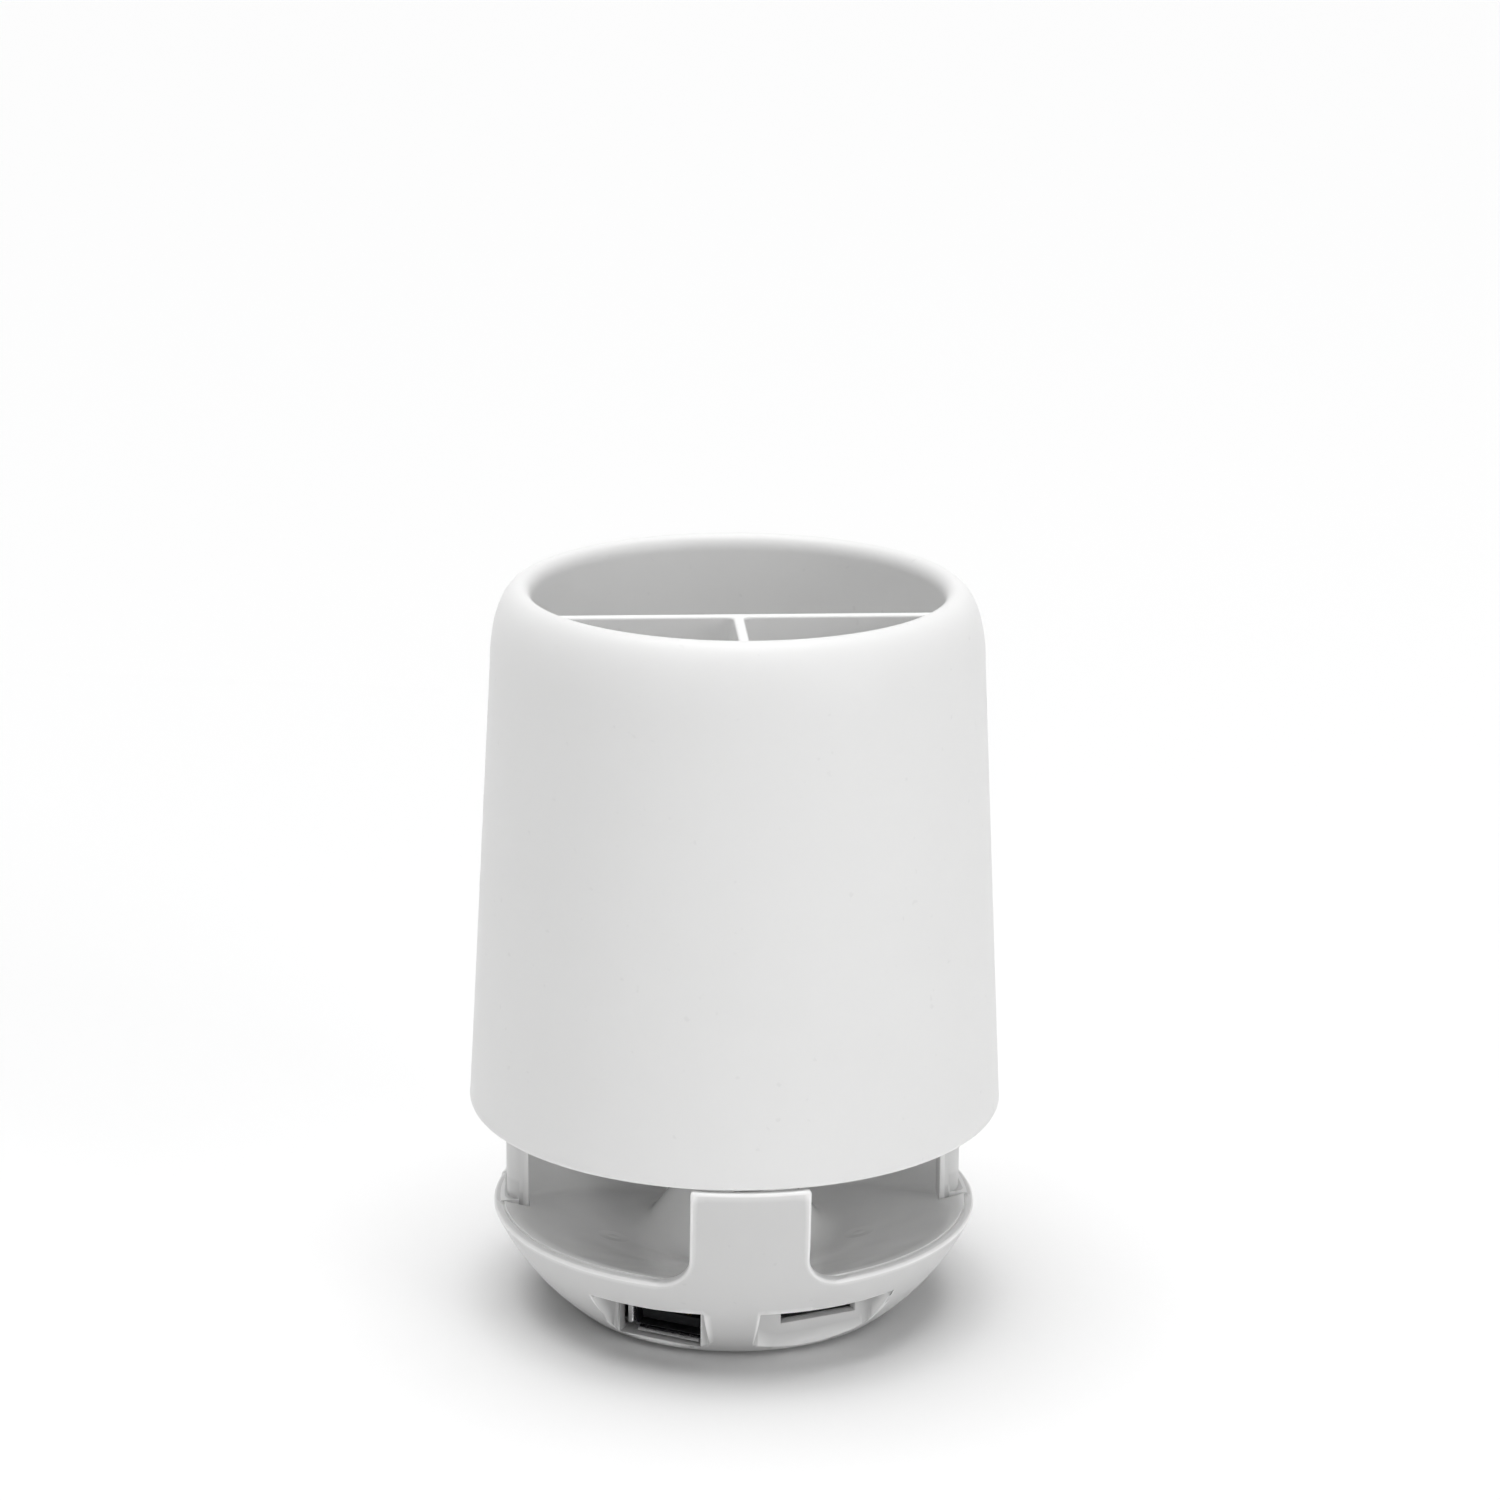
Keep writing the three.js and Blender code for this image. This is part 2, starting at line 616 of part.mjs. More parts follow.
for (const [side, x, y] of bossPlaces) {
  const shankFootZ = baffleScrewZ - baffleScrewLength;
  const head = post(x, y, baffleScrewHeadRadius, baffleScrewZ, baffleTopZ);
  const shank = post(x, y, screwRadius, shankFootZ, baffleScrewZ + restGap);
  add("baffle_screw_" + side, head.add(shank), materials.steel);
}

// The grille: rings and spokes that fill the sound hole from below.
function makeGrille() {
  const outer = soundHoleRadius + overrun - seamGap;
  const topZ = baffleZ + grilleThickness;
  let grille = post(0, 0, grilleHubRadius, baffleZ, topZ);
  for (const share of grilleRingShares) {
    grille = grille.add(ring(outer * share - grilleRingWidth, outer * share, baffleZ, topZ));
  }
  const half = grilleSpokeWidth / 2;
  for (let i = 0; i < grilleSpokes; i += 1) {
    const turn = (i * 360) / grilleSpokes;
    grille = grille.add(turnedBlock(turn, -half, half, 0, outer - half, baffleZ, topZ));
  }
  return grille;
}
add("speaker_grille", makeGrille(), materials.housing);

// The speaker, on its gasket over the sound hole.
const gasketTopZ = gasketZ + gasketThickness;
const gasket = ring(speakerRadius - gasketWidth, speakerRadius, gasketZ, gasketTopZ);
add("speaker_gasket", gasket, materials.cone);
add(
  "speaker_basket",
  turned(
    [
      [surroundOuter, flangeZ],
      [speakerRadius, flangeZ],
      [speakerRadius, flangeTopZ],
      [surroundOuter + overrun, flangeTopZ],
      [basketTopRadius, basketTopZ],
      [coneRootRadius + coilWall + seamGap, basketTopZ],
      [coneRootRadius + coilWall + seamGap, basketTopZ - overrun],
      [basketTopRadius - overrun, basketTopZ - overrun],
      [surroundOuter, flangeTopZ],
    ],
    roundSteps / 2,
  ),
  materials.magnet,
);
const coneEdgeZ = flangeZ + speakerFlange / 2;
const coneRootZ = coneEdgeZ + coneRise;
function makeSurround() {
  const middle = (surroundOuter + surroundInner) / 2;
  const reach = (surroundOuter - surroundInner) / 2 - restGap;
  const under = reach - coneThickness;
  const lower = ellipseArc(middle, coneEdgeZ, under, surroundRise - coneThickness, 0, 2, 6);
  const upper = ellipseArc(middle, coneEdgeZ, reach, surroundRise, 2, 0, 6);
  const points = [[middle + reach, coneEdgeZ], ...lower, [middle - reach, coneEdgeZ]];
  return turned([...points, ...upper.slice(1, -1)], roundSteps / 2);
}
add("speaker_surround", makeSurround(), materials.cone);
add(
  "speaker_cone",
  turned(
    [
      [surroundInner, coneEdgeZ],
      [surroundInner, coneEdgeZ + coneThickness],
      [coneRootRadius + coneThickness, coneRootZ + coneThickness],
      [coneRootRadius - coilWall, coneRootZ + coneThickness],
      [coneRootRadius - coilWall, coneRootZ],
      [coneRootRadius, coneRootZ],
    ],
    roundSteps / 2,
  ),
  materials.cone,
);
function makeDustCap() {
  const edgeZ = coneRootZ - restGap;
  const reach = coneRootRadius - coilWall;
  const rise = dustCapRise - restGap;
  const wall = dustCapThickness;
  const outside = ellipseArc(0, edgeZ, reach, rise, -1, 0, 5);
  const inside = ellipseArc(0, edgeZ, reach - wall, rise - wall, 0, -1, 5);
  const points = [[0, edgeZ - rise], ...outside.slice(1), ...inside.slice(0, -1)];
  return turned([...points, [0, edgeZ - rise + wall]], smallSteps);
}
add("speaker_dust_cap", makeDustCap(), materials.cone);
const coilZ = coneRootZ + coneThickness + restGap;
const coil = ring(coneRootRadius - coilWall, coneRootRadius, coilZ, coilZ + coilHeight, smallSteps);
add("voice_coil", coil, materials.copper);
const magnet = post(0, 0, magnetRadius, basketTopZ + restGap, magnetTopZ, roundSteps / 2);
add("speaker_magnet", magnet, materials.magnet);

// The lamp: a ring-shaped board with its diodes on top.
const lampBoardZ = baffleTopZ + lampBoardRise + restGap;
const lampBoardTopZ = lampBoardZ + lampBoardThickness;
const lampBoard = ring(lampBoardInner, lampBoardOuter, lampBoardZ, lampBoardTopZ);
add("lamp_board", lampBoard, materials.board);
for (let i = 0; i < lampCount; i += 1) {
  const turn = (i * 360) / lampCount;
  const [across, deep] = [lampWidth / 2, lampDepth / 2];
  const [out0, out1] = [lampCircle - deep, lampCircle + deep];
  const z0 = lampBoardTopZ + restGap;
  const body = turnedBlock(turn, -across, across, out0, out1, z0, z0 + lampHeight);
  add("lamp_diode_" + (i + 1), body, materials.lamp);
}

// The base housing: bowl, front web and rear housing in one moulding.
const sideInner = consoleHalfWidth - bowlWall;
const postInner = consoleHalfWidth - postWidth;
const usbTopZ = boardZ - restGap;
const buttonNames = ["previous", "play", "next", "lamp"]; // left to right, seen from behind

/** Place of a push-button along the row. */
function buttonX(i) {
  return ((buttonNames.length - 1) / 2 - i) * buttonPitch;
}

/** Plan of the rear housing. */
function consolePlan() {
  const half = consoleHalfWidth;
  return roundedRectangle(-half, half, postFront, ballRadius + overrun + postCorner, postCorner);
}

/** A ball of the given size between two heights. */
function ballSlice(radius, z0, z1, steps) {
  const points = [[0, z0]];
  for (let i = 0; i <= steps; i += 1) {
    const z = z0 + ((z1 - z0) * i) / steps;
    points.push([ballRadiusAt(radius, z), z]);
  }
  points.push([0, z1]);
  return turned(points);
}

/** The ball's outline in even angles from the flat underside up to a height. */
function ballOutline(radius, z0, z1, steps) {
  const a = Math.asin((z0 - ballZ) / radius);
  const b = Math.asin((z1 - ballZ) / radius);
  const points = [];
  for (let i = 0; i <= steps; i += 1) {
    const angle = a + ((b - a) * i) / steps;
    points.push([radius * Math.cos(angle), ballZ + radius * Math.sin(angle)]);
  }
  return points;
}

/** A socket recess: the cutter, and the wall that backs it. */
function socketRecess(turn, left, right, flareLeft, flareRight) {
  const inner = portWallDistance;
  const outer = inner + recessReach;
  const cutter = turnedPrism(
    turn,
    [[left, inner], [right, inner], [right + flareRight, outer], [left - flareLeft, outer]],
    -overrun,
    browZ,
  );
  const wall = portWallThickness;
  const backing = turnedPrism(
    turn,
    [
      [left - wall, inner - wall],
      [right + wall, inner - wall],
      [right + flareRight + wall, outer],
      [left - flareLeft - wall, outer],
    ],
    footHeight,
    browZ + browRoof,
  );
  return { cutter, backing };
}

function makeHousing() {
  const outerBall = turned([
    [0, footHeight],
    ...ballOutline(ballRadius, footHeight, baseTopZ, 12),
    [0, baseTopZ],
  ]);
  const inside = [
    ...ballOutline(innerBall, ledgeTopZ, rimInnerZ, 7),
    [rimInner, rimInnerZ],
    [rimInner, baseTopZ + overrun],
  ];
  const bore = turned([
    [0, ledgeTopZ],
    ...inside,
    [0, baseTopZ + overrun],
  ]);
  const opening = post(0, 0, coverOpening, -overrun, ledgeTopZ + overrun, roundSteps / 2);
  const rebate = post(0, 0, coverRadius + seamGap / 2, -overrun, coverTopZ + restGap, roundSteps);
  let housing = outerBall.subtract(bore).subtract(opening).subtract(rebate);

  // Space above the rim, outside the web and the rear housing.
  const reach = ballRadius + overrun;
  const aboveRim = turned([
    [0, rimInnerZ],
    [rimInner, rimInnerZ],
    [ballRadiusAt(ballRadius, rimZ), rimZ],
    [reach, rimZ - rimLip],
    [reach, baseTopZ + overrun],
    [0, baseTopZ + overrun],
  ]);
  const side = new THREE.Shape();
  side.moveTo(reach, rimZ);
  side.lineTo(reach, baseTopZ + overrun);
  side.lineTo(webHalfWidth, baseTopZ + overrun);
  side.lineTo(webHalfWidth, rimZ + windowCorner);
  const [cornerX, cornerZ] = [webHalfWidth + windowCorner, rimZ + windowCorner];
  side.absarc(cornerX, cornerZ, windowCorner, Math.PI, 1.5 * Math.PI);
  const window = solid(
    new THREE.ExtrudeGeometry(side, { depth: 2 * reach, bevelEnabled: false, curveSegments: 10 })
      .rotateX(Math.PI / 2)
      .translate(0, reach, 0),
  );
  const topZ = baseTopZ + overrun;
  const keepRear = prism(consolePlan(), footHeight, topZ + overrun);
  const windows = window.add(mirrored(window)).intersect(aboveRim).subtract(keepRear);
  housing = housing.subtract(windows);

  // Side walls and posts of the rear housing, rooted in the bowl.
  const rootZ = rimZ - consoleRootDepth;
  const lowZ = rootZ - overrun;
  const hollowShape = outline([
    [-sideInner, postFront + postDepth],
    [sideInner, postFront + postDepth],
    [sideInner, reach],
    [-sideInner, reach],
  ]);
  const hollow = prism(hollowShape, lowZ, topZ);
  const mouth = block(-postInner, postInner, postFront - overrun, reach, lowZ, topZ);
  const sides = prism(consolePlan(), rootZ, baseTopZ).subtract(hollow).subtract(mouth);
  const rearFill = prism(consolePlan(), rimInnerZ - overrun, baseTopZ)
    .subtract(hollow)
    .subtract(mouth);
  const seatRoom = block(-reach, reach, postFront, reach, lowZ, baseTopZ).subtract(
    block(-sideInner, sideInner, postFront - overrun, reach + overrun, 0, topZ),
  );
  const seat = ring(deckRadius - bowlWall, rimInner + restGap, rootZ, rimInnerZ, roundSteps);
  const rear = sides.add(seat.intersect(seatRoom)).add(rearFill);
  housing = housing.add(rear.intersect(outerBall));

  // The rear wall follows the ball, so the room inside is carved to the same wall thickness.
  const room = prism(hollowShape, rimInnerZ, topZ);
  housing = housing.subtract(room.intersect(ballSlice(innerBall, rimInnerZ - overrun, topZ, 8)));

  // Bosses for the screws that hold the baffle.
  for (const [side, x, y] of bossPlaces) {
    const footZ = side === "front" ? rimInnerZ + seamGap : rootZ;
    const boss = post(x, y, baffleBossRadius, footZ, baseTopZ);
    housing = housing.add(boss.intersect(outerBall));
  }

  // Socket recesses in front, and the flat control panel at the rear.
  const usb = socketRecess(usbTurn, usbWallLeft, usbWallRight, usbFlareLeft, usbFlareRight);
  const card = socketRecess(cardTurn, cardWallLeft, cardWallRight, cardFlareLeft, cardFlareRight);
  const rebateR = coverRadius + seamGap / 2;
  const coverRoom = post(0, 0, rebateR, 0, coverTopZ + restGap, roundSteps);
  const middle = post(0, 0, coverOpening, 0, baseTopZ, roundSteps / 2).add(coverRoom);
  for (const recess of [usb, card]) {
    const backing = recess.backing.intersect(outerBall).subtract(middle);
    housing = housing.add(backing).subtract(recess.cutter);
  }
  const panelOuter = panelHalfWidth + panelFlare;
  const panelFootZ = rimZ - panelRootDepth;
  const panelTopZ = panelBrowZ + panelWall;
  const plate = block(-panelOuter, panelOuter, panelBackY, reach, panelFootZ, panelTopZ);
  const panelPlan = outline([
    [-panelHalfWidth, panelDistance],
    [panelHalfWidth, panelDistance],
    [panelOuter, reach + overrun],
    [-panelOuter, reach + overrun],
  ]);
  housing = housing.add(plate.intersect(outerBall)).subtract(prism(panelPlan, 0, panelBrowZ));

  // Openings for the two sockets in front, and room for the metal shell over the ledge.
  const behind = portWallDistance - 2 * portWallThickness;
  const before = portWallDistance + overrun;
  const usbHoleZ = footHeight + usbHoleFoot;
  const usbHoleTopZ = usbHoleZ + usbHoleHeight;
  const cardHoleZ = boardZ - restGap - (cardShellHeight + cardHoleHeight) / 2;
  const cardHoleTopZ = cardHoleZ + cardHoleHeight;
  const shellSide = usbShellWidth / 2 + seamGap;
  const shellZ = usbTopZ - usbShellHeight - seamGap;
  const holes = [
    [usbTurn, usbHoleLeft, usbHoleRight, behind, before, usbHoleZ, usbHoleTopZ],
    [cardTurn, cardHoleLeft, cardHoleRight, behind, before, cardHoleZ, cardHoleTopZ],
    [
      usbTurn,
      usbShellCentre - shellSide,
      usbShellCentre + shellSide,
      usbFront - usbShellDepth - seamGap,
      portWallDistance - portWallThickness,
      shellZ,
      browZ,
    ],
  ];
  for (const hole of holes) housing = housing.subtract(turnedBlock(...hole));

  // Holes in the rear panel.
  const backY = panelBackY - overrun;
  const faceY = panelDistance + overrun;
  for (let i = 0; i < buttonNames.length; i += 1) {
    const x = buttonX(i);
    const hole = pinAlongY(x, buttonZ, buttonRadius + buttonClearance, backY, faceY);
    housing = housing.subtract(hole);
  }
  const slots = [
    [switchCentre, (switchKnobWidth + switchTravel) / 2, switchKnobHeight / 2],
    [chargeCentre, chargeWidth / 2, chargeHeight / 2],
  ];
  for (const [x, wide, high] of slots) {
    const [across, up] = [wide + buttonClearance, high + buttonClearance];
    housing = housing.subtract(
      block(x - across, x + across, backY, faceY, lowerRowZ - up, lowerRowZ + up),
    );
  }
  housing = housing.subtract(pinAlongY(0, lowerRowZ, lightPipeRadius + restGap, backY, faceY));

  // Screw bosses over the cover, and the screw holes.
  for (const turn of coverScrewTurns) {
    const [x, y] = turnedPoint(turn, 0, coverScrewCircle);
    const holeTopZ = footHeight + coverScrewLength + overrun;
    housing = housing.add(post(x, y, coverBossRadius, coverTopZ + restGap, boardZ - restGap));
    housing = housing.subtract(post(x, y, screwRadius + restGap, 0, holeTopZ));
  }
  for (const [, x, y] of bossPlaces) {
    const foot = baffleScrewZ - baffleScrewLength - restGap;
    housing = housing.subtract(post(x, y, screwRadius + restGap, foot, topZ));
  }
  return housing;
}
add("base_housing", makeHousing(), materials.housing);

// The horn deck: dish, diffuser cone and curved back wall, set into the bowl.
const backWallCentreY = backWallSagitta - backWallRadius;
function makeDeck() {
  const rise = (rimInnerZ - coneFootZ) / (deckRadius - coneFootRadius);
  const footR = coneFootRadius + coneFootRound;
  const footZ = coneFootZ + rise * coneFootRound;
  const slope = (coneHeight - coneTipRadius) / (coneFootRadius - coneTipRadius);
  const tipZ = coneFootZ + coneHeight;
  const runUp = coneFootRound * coneFootShare;
  const fillet = new THREE.QuadraticBezierCurve(
    new THREE.Vector2(footR, footZ),
    new THREE.Vector2(coneFootRadius, coneFootZ),
    new THREE.Vector2(coneFootRadius - runUp, coneFootZ + slope * runUp),
  )
    .getPoints(4)
    .map((p) => [p.x, p.y]);
  const tipR = coneTipRadius;
  const tip = ellipseArc(0, tipZ - tipR, tipR, tipR, coneTipStartShare, 1, 3);
  const edgeUnder = rimInnerZ - deckWall;
  const dish = turned([
    [0, coneFootZ - deckWall],
    [footR, coneFootZ - deckWall],
    [ballRadiusAt(innerBall, edgeUnder) - deckGap, edgeUnder],
    [deckRadius, rimInnerZ],
    ...fillet,
    ...tip.slice(0, -1),
    [0, tipZ],
  ]);
  const side = postInner - seamGap;
  const reach = ballRadius + overrun;
  const drum = (radius) => {
    const plan = new THREE.Shape().absarc(0, backWallCentreY, radius, 0, 2 * Math.PI);
    return prism(plan, 0, crestZ, 60);
  };
  const rear = drum(backWallRadius + backWallThickness);
  const wallFootZ = coneFootZ - deckWall;
  const span = block(-side, side, postFront, reach, wallFootZ, baseTopZ - restGap);
  const room = ballSlice(innerBall - seamGap, wallFootZ, baseTopZ, 8).intersect(span);
  const wall = rear.subtract(drum(backWallRadius)).intersect(room);
  const frontHalf = block(-reach, reach, -reach, postFront - seamGap, 0, crestZ);
  const rearHalf = block(-side, side, postFront - overrun, reach, 0, crestZ);
  let deck = dish.intersect(rear.intersect(frontHalf.add(rearHalf))).add(wall);
  for (const x of [-deckBossX, deckBossX]) {
    const topZ = coneFootZ + deckWall / 2;
    deck = deck.add(post(x, deckBossY, deckBossRadius, bossEndZ, topZ));
    deck = deck.subtract(post(x, deckBossY, screwRadius + restGap, bossEndZ - overrun, topZ));
  }
  return deck;
}
add("horn_deck", makeDeck(), materials.deck);

// Main board with the two front sockets on its underside.
function makeMainBoard() {
  let board = post(0, 0, boardRadius, boardZ, boardTopZ, roundSteps / 2);
  for (const x of [-deckBossX, deckBossX]) {
    board = board.subtract(
      post(x, deckBossY, screwRadius + restGap, boardZ - overrun, boardTopZ + overrun),
    );
  }
  return board;
}
add("main_board", makeMainBoard(), materials.board);
for (const [side, x] of [["left", -deckBossX], ["right", deckBossX]]) {
  const headZ = boardZ - restGap;
  const head = post(x, deckBossY, screwHeadRadius, headZ - screwHeadHeight, headZ);
  const shank = post(x, deckBossY, screwRadius, headZ - restGap, headZ + boardScrewLength);
  add("board_screw_" + side, head.add(shank), materials.steel);
}

function makeUsbShell() {
  const left = usbShellCentre - usbShellWidth / 2;
  const right = usbShellCentre + usbShellWidth / 2;
  const back = usbFront - usbShellDepth;
  const bottomZ = usbTopZ - usbShellHeight;
  const can = turnedBlock(usbTurn, left, right, back, usbFront, bottomZ, usbTopZ);
  return can.subtract(
    turnedBlock(
      usbTurn,
      left + usbShellWall,
      right - usbShellWall,
      back + usbShellWall,
      usbFront + overrun,
      bottomZ + usbShellWall,
      usbTopZ - usbShellWall,
    ),
  );
}
add("usb_socket_shell", makeUsbShell(), materials.steel);
function makeUsbTongue() {
  const back = usbFront - usbShellDepth + usbShellWall + restGap;
  const wide = usbShellWidth / 2 - usbShellWall - restGap;
  const low = usbTopZ - usbShellHeight + usbShellWall + restGap;
  const high = usbTopZ - usbShellWall - restGap;
  const [left, right] = [usbShellCentre - wide, usbShellCentre + wide];
  const root = turnedBlock(usbTurn, left, right, back, back + usbBlockDepth, low, high);
  const half = usbShellWidth / 2 - usbShellWall - usbTongueGap;
  const topZ = high - usbTongueDrop;
  const tongue = turnedBlock(
    usbTurn,
    usbShellCentre - half,
    usbShellCentre + half,
    back,
    usbFront - usbTongueSetback,
    topZ - usbTongueThickness,
    topZ,
  );
  return root.add(tongue);
}
add("usb_socket_tongue", makeUsbTongue(), materials.black);

function makeCardSocket() {
  const left = cardShellCentre - cardShellWidth / 2;
  const right = cardShellCentre + cardShellWidth / 2;
  const back = cardFront - cardShellDepth;
  const lowZ = usbTopZ - cardShellHeight;
  const wall = cardShellWall;
  const can = turnedBlock(cardTurn, left, right, back, cardFront, lowZ, usbTopZ);
  const bore = turnedBlock(
    cardTurn,
    left + wall,
    right - wall,
    back + wall,
    cardFront + overrun,
    lowZ + wall,
    usbTopZ - wall,
  );
  return can.subtract(bore);
}
add("card_socket_shell", makeCardSocket(), materials.steel);
function makeCardTray() {
  const wide = cardShellWidth / 2 - cardShellWall - restGap;
  const low = usbTopZ - cardShellHeight + cardShellWall + restGap;
  return turnedBlock(
    cardTurn,
    cardShellCentre - wide,
    cardShellCentre + wide,
    cardFront - cardShellDepth + cardShellWall + restGap,
    cardFront - overrun,
    low,
    low + cardTrayThickness,
  );
}
add("card_socket_tray", makeCardTray(), materials.black);

// Battery behind the deck's back wall.
const boardBackY = controlBoardY - boardThickness;
const batteryFrontY = backWallSagitta + backWallThickness + seamGap;
const batteryBackY = batteryFrontY + (boardBackY - batteryFrontY) * batteryDepthShare;
const batteryHalf = batteryWidth / 2;
const batteryPlan = roundedRectangle(
  -batteryHalf,
  batteryHalf,
  batteryFrontY,
  batteryBackY,
  batteryRound,
);
const batteryZ = boardTopZ + batteryFoot;
const batteryTopZ = baffleZ - batteryHeadroom;
const battery = prism(batteryPlan, batteryZ, batteryTopZ, 4);
add("battery", battery, materials.foil);

// Control board behind the rear panel, with the switches and the charge socket.
const controlBoardTopZ = baseTopZ - overrun;
const controlBoardHalf = buttonX(0) + controlBoardMargin;
const controlBoard = block(
  -controlBoardHalf,
  controlBoardHalf,
  boardBackY,
  controlBoardY,
  lowerRowZ - controlBoardFoot,
  controlBoardTopZ,
);
add("control_board", controlBoard, materials.board);
const tactY = controlBoardY + restGap;
const plungerTipY = tactY + tactHeight + tactPlungerHeight;
buttonNames.forEach((name, i) => {
  const x = buttonX(i);
  const half = tactSize / 2;
  const canY = tactY + tactHeight;
  const can = block(x - half, x + half, tactY, canY, buttonZ - half, buttonZ + half);
  const plunger = pinAlongY(x, buttonZ, tactPlungerRadius, canY - restGap, plungerTipY);
  add("tact_switch_" + name, can.add(plunger), materials.black);
  const tipY = panelDistance + buttonProud;
  const flangeY = panelBackY - restGap;
  const cap = pinAlongY(x, buttonZ, buttonRadius, flangeY - restGap, tipY - buttonDome);
  const crown = new THREE.CylinderGeometry(
    buttonRadius - buttonDome,
    buttonRadius,
    buttonDome,
    smallSteps,
  );
  const dome = solid(crown.translate(x, tipY - buttonDome / 2, buttonZ));
  const flangeR = buttonRadius + buttonFlangeWidth;
  const flange = pinAlongY(x, buttonZ, flangeR, flangeY - buttonFlangeThickness, flangeY);
  const stemEnd = plungerTipY + buttonTravel + restGap;
  const stem = pinAlongY(x, buttonZ, buttonStemRadius, stemEnd, flangeY - restGap);
  add("button_" + name, cap.add(dome).add(flange).add(stem), materials.button);
});

const canFarY = tactY + switchCanDepth;
add(
  "power_switch_body",
  block(
    switchCentre - switchCanWidth / 2,
    switchCentre + switchCanWidth / 2,
    tactY,
    canFarY,
    lowerRowZ - switchCanHeight / 2,
    lowerRowZ + switchCanHeight / 2,
  ),
  materials.steel,
);
function makeSlider() {
  const x = switchCentre - switchTravel / 2;
  const plateY = panelBackY - buttonClearance;
  const halfPlate = switchPlateWidth / 2;
  const plate = block(
    x - halfPlate,
    x + halfPlate,
    plateY - switchPlateThickness,
    plateY,
    lowerRowZ - switchPlateHeight / 2,
    lowerRowZ + switchPlateHeight / 2,
  );
  const halfKnob = switchKnobWidth / 2;
  const knob = block(
    x - halfKnob,
    x + halfKnob,
    plateY - restGap,
    panelDistance + switchKnobProud,
    lowerRowZ - switchKnobHeight / 2,
    lowerRowZ + switchKnobHeight / 2,
  );
  const halfLever = switchLeverWidth / 2;
  const lever = block(
    x - halfLever,
    x + halfLever,
    canFarY + restGap,
    plateY - switchPlateThickness / 2,
    lowerRowZ - halfLever,
    lowerRowZ + halfLever,
  );
  return plate.add(knob).add(lever);
}
add("power_slider", makeSlider(), materials.button);

function makeChargeSocket() {
  const halfWide = chargeWidth / 2;
  const halfHigh = chargeHeight / 2;
  const farY = panelBackY + panelWall / 2;
  const can = block(
    chargeCentre - halfWide,
    chargeCentre + halfWide,
    tactY,
    farY,
    lowerRowZ - halfHigh,
    lowerRowZ + halfHigh,
  );
  const bore = block(
    chargeCentre - halfWide + chargeWall,
    chargeCentre + halfWide - chargeWall,
    farY - chargeDepth,
    farY + overrun,
    lowerRowZ - halfHigh + chargeWall,
    lowerRowZ + halfHigh - chargeWall,
  );
  const halfTongue = chargeTongueThickness / 2;
  const tongue = block(
    chargeCentre - halfWide / 2,
    chargeCentre + halfWide / 2,
    farY - chargeDepth - overrun / 2,
    farY - chargeHeight / 2,
    lowerRowZ - halfTongue,
    lowerRowZ + halfTongue,
  );
  return can.subtract(bore).add(tongue);
}
add("charge_socket", makeChargeSocket(), materials.steel);
function makeLightPipe() {
  const farY = panelDistance - restGap;
  const headY = panelBackY - restGap;
  const backY = headY - lightPipeHeadThickness;
  const pin = pinAlongY(0, lowerRowZ, lightPipeRadius, backY - lightPipeTail, farY);
  return pin.add(pinAlongY(0, lowerRowZ, lightPipeHeadRadius, backY, headY));
}
add("status_light_pipe", makeLightPipe(), materials.lamp);

// Base cover, rubber ring and cover screws.
function makeCover() {
  let cover = post(0, 0, coverRadius, footHeight, coverTopZ, roundSteps);
  const grooveZ = footHeight + footGroove;
  const groove = ring(footInner - restGap, footOuter + restGap, footHeight - overrun, grooveZ);
  cover = cover.subtract(groove);
  for (const turn of coverScrewTurns) {
    const [x, y] = turnedPoint(turn, 0, coverScrewCircle);
    const through = post(x, y, screwRadius + buttonClearance, 0, coverTopZ + overrun);
    const sink = post(x, y, screwHeadRadius - restGap, 0, footHeight + screwHeadHeight + restGap);
    cover = cover.subtract(through).subtract(sink);
  }
  return cover;
}
add("base_cover", makeCover(), materials.housing);
coverScrewTurns.forEach((turn, i) => {
  const [x, y] = turnedPoint(turn, 0, coverScrewCircle);
  const neckZ = footHeight + screwHeadHeight;
  const endZ = footHeight + coverScrewLength;
  const head = post(x, y, screwHeadRadius - seamGap, footHeight, neckZ);
  const shank = post(x, y, screwRadius, neckZ - restGap, endZ, smallSteps / 2);
  add("cover_screw_" + (i + 1), head.add(shank), materials.steel);
});
const footTopZ = footHeight + footGroove - restGap;
add("rubber_foot", ring(footInner, footOuter, 0, footTopZ), materials.rubber);

/** A thin lead along a curve through a list of points. */
function lead(points) {
  const path = new THREE.CatmullRomCurve3(points.map(([x, y, z]) => new THREE.Vector3(x, y, z)));
  const section = [];
  for (let i = 0; i < leadSides; i += 1) {
    const angle = (i * 2 * Math.PI) / leadSides;
    section.push([leadRadius * Math.cos(angle), leadRadius * Math.sin(angle)]);
  }
  const settings = { steps: leadSteps, bevelEnabled: false, extrudePath: path };
  return solid(new THREE.ExtrudeGeometry(outline(section), settings));
}
const leadFoot = boardTopZ + leadRadius + restGap;
const [farDrop, shortDrop, nearDrop] = leadDropShares.map((share) => share * leadRadius);
const speakerLeadStart = (speakerRadius - leadRadius) * Math.SQRT1_2;
const besideBattery = Math.max(batteryHalf, speakerLeadX) + leadRadius + leadRoom;
const halfwayX = (speakerLeadX + besideBattery) / 2;
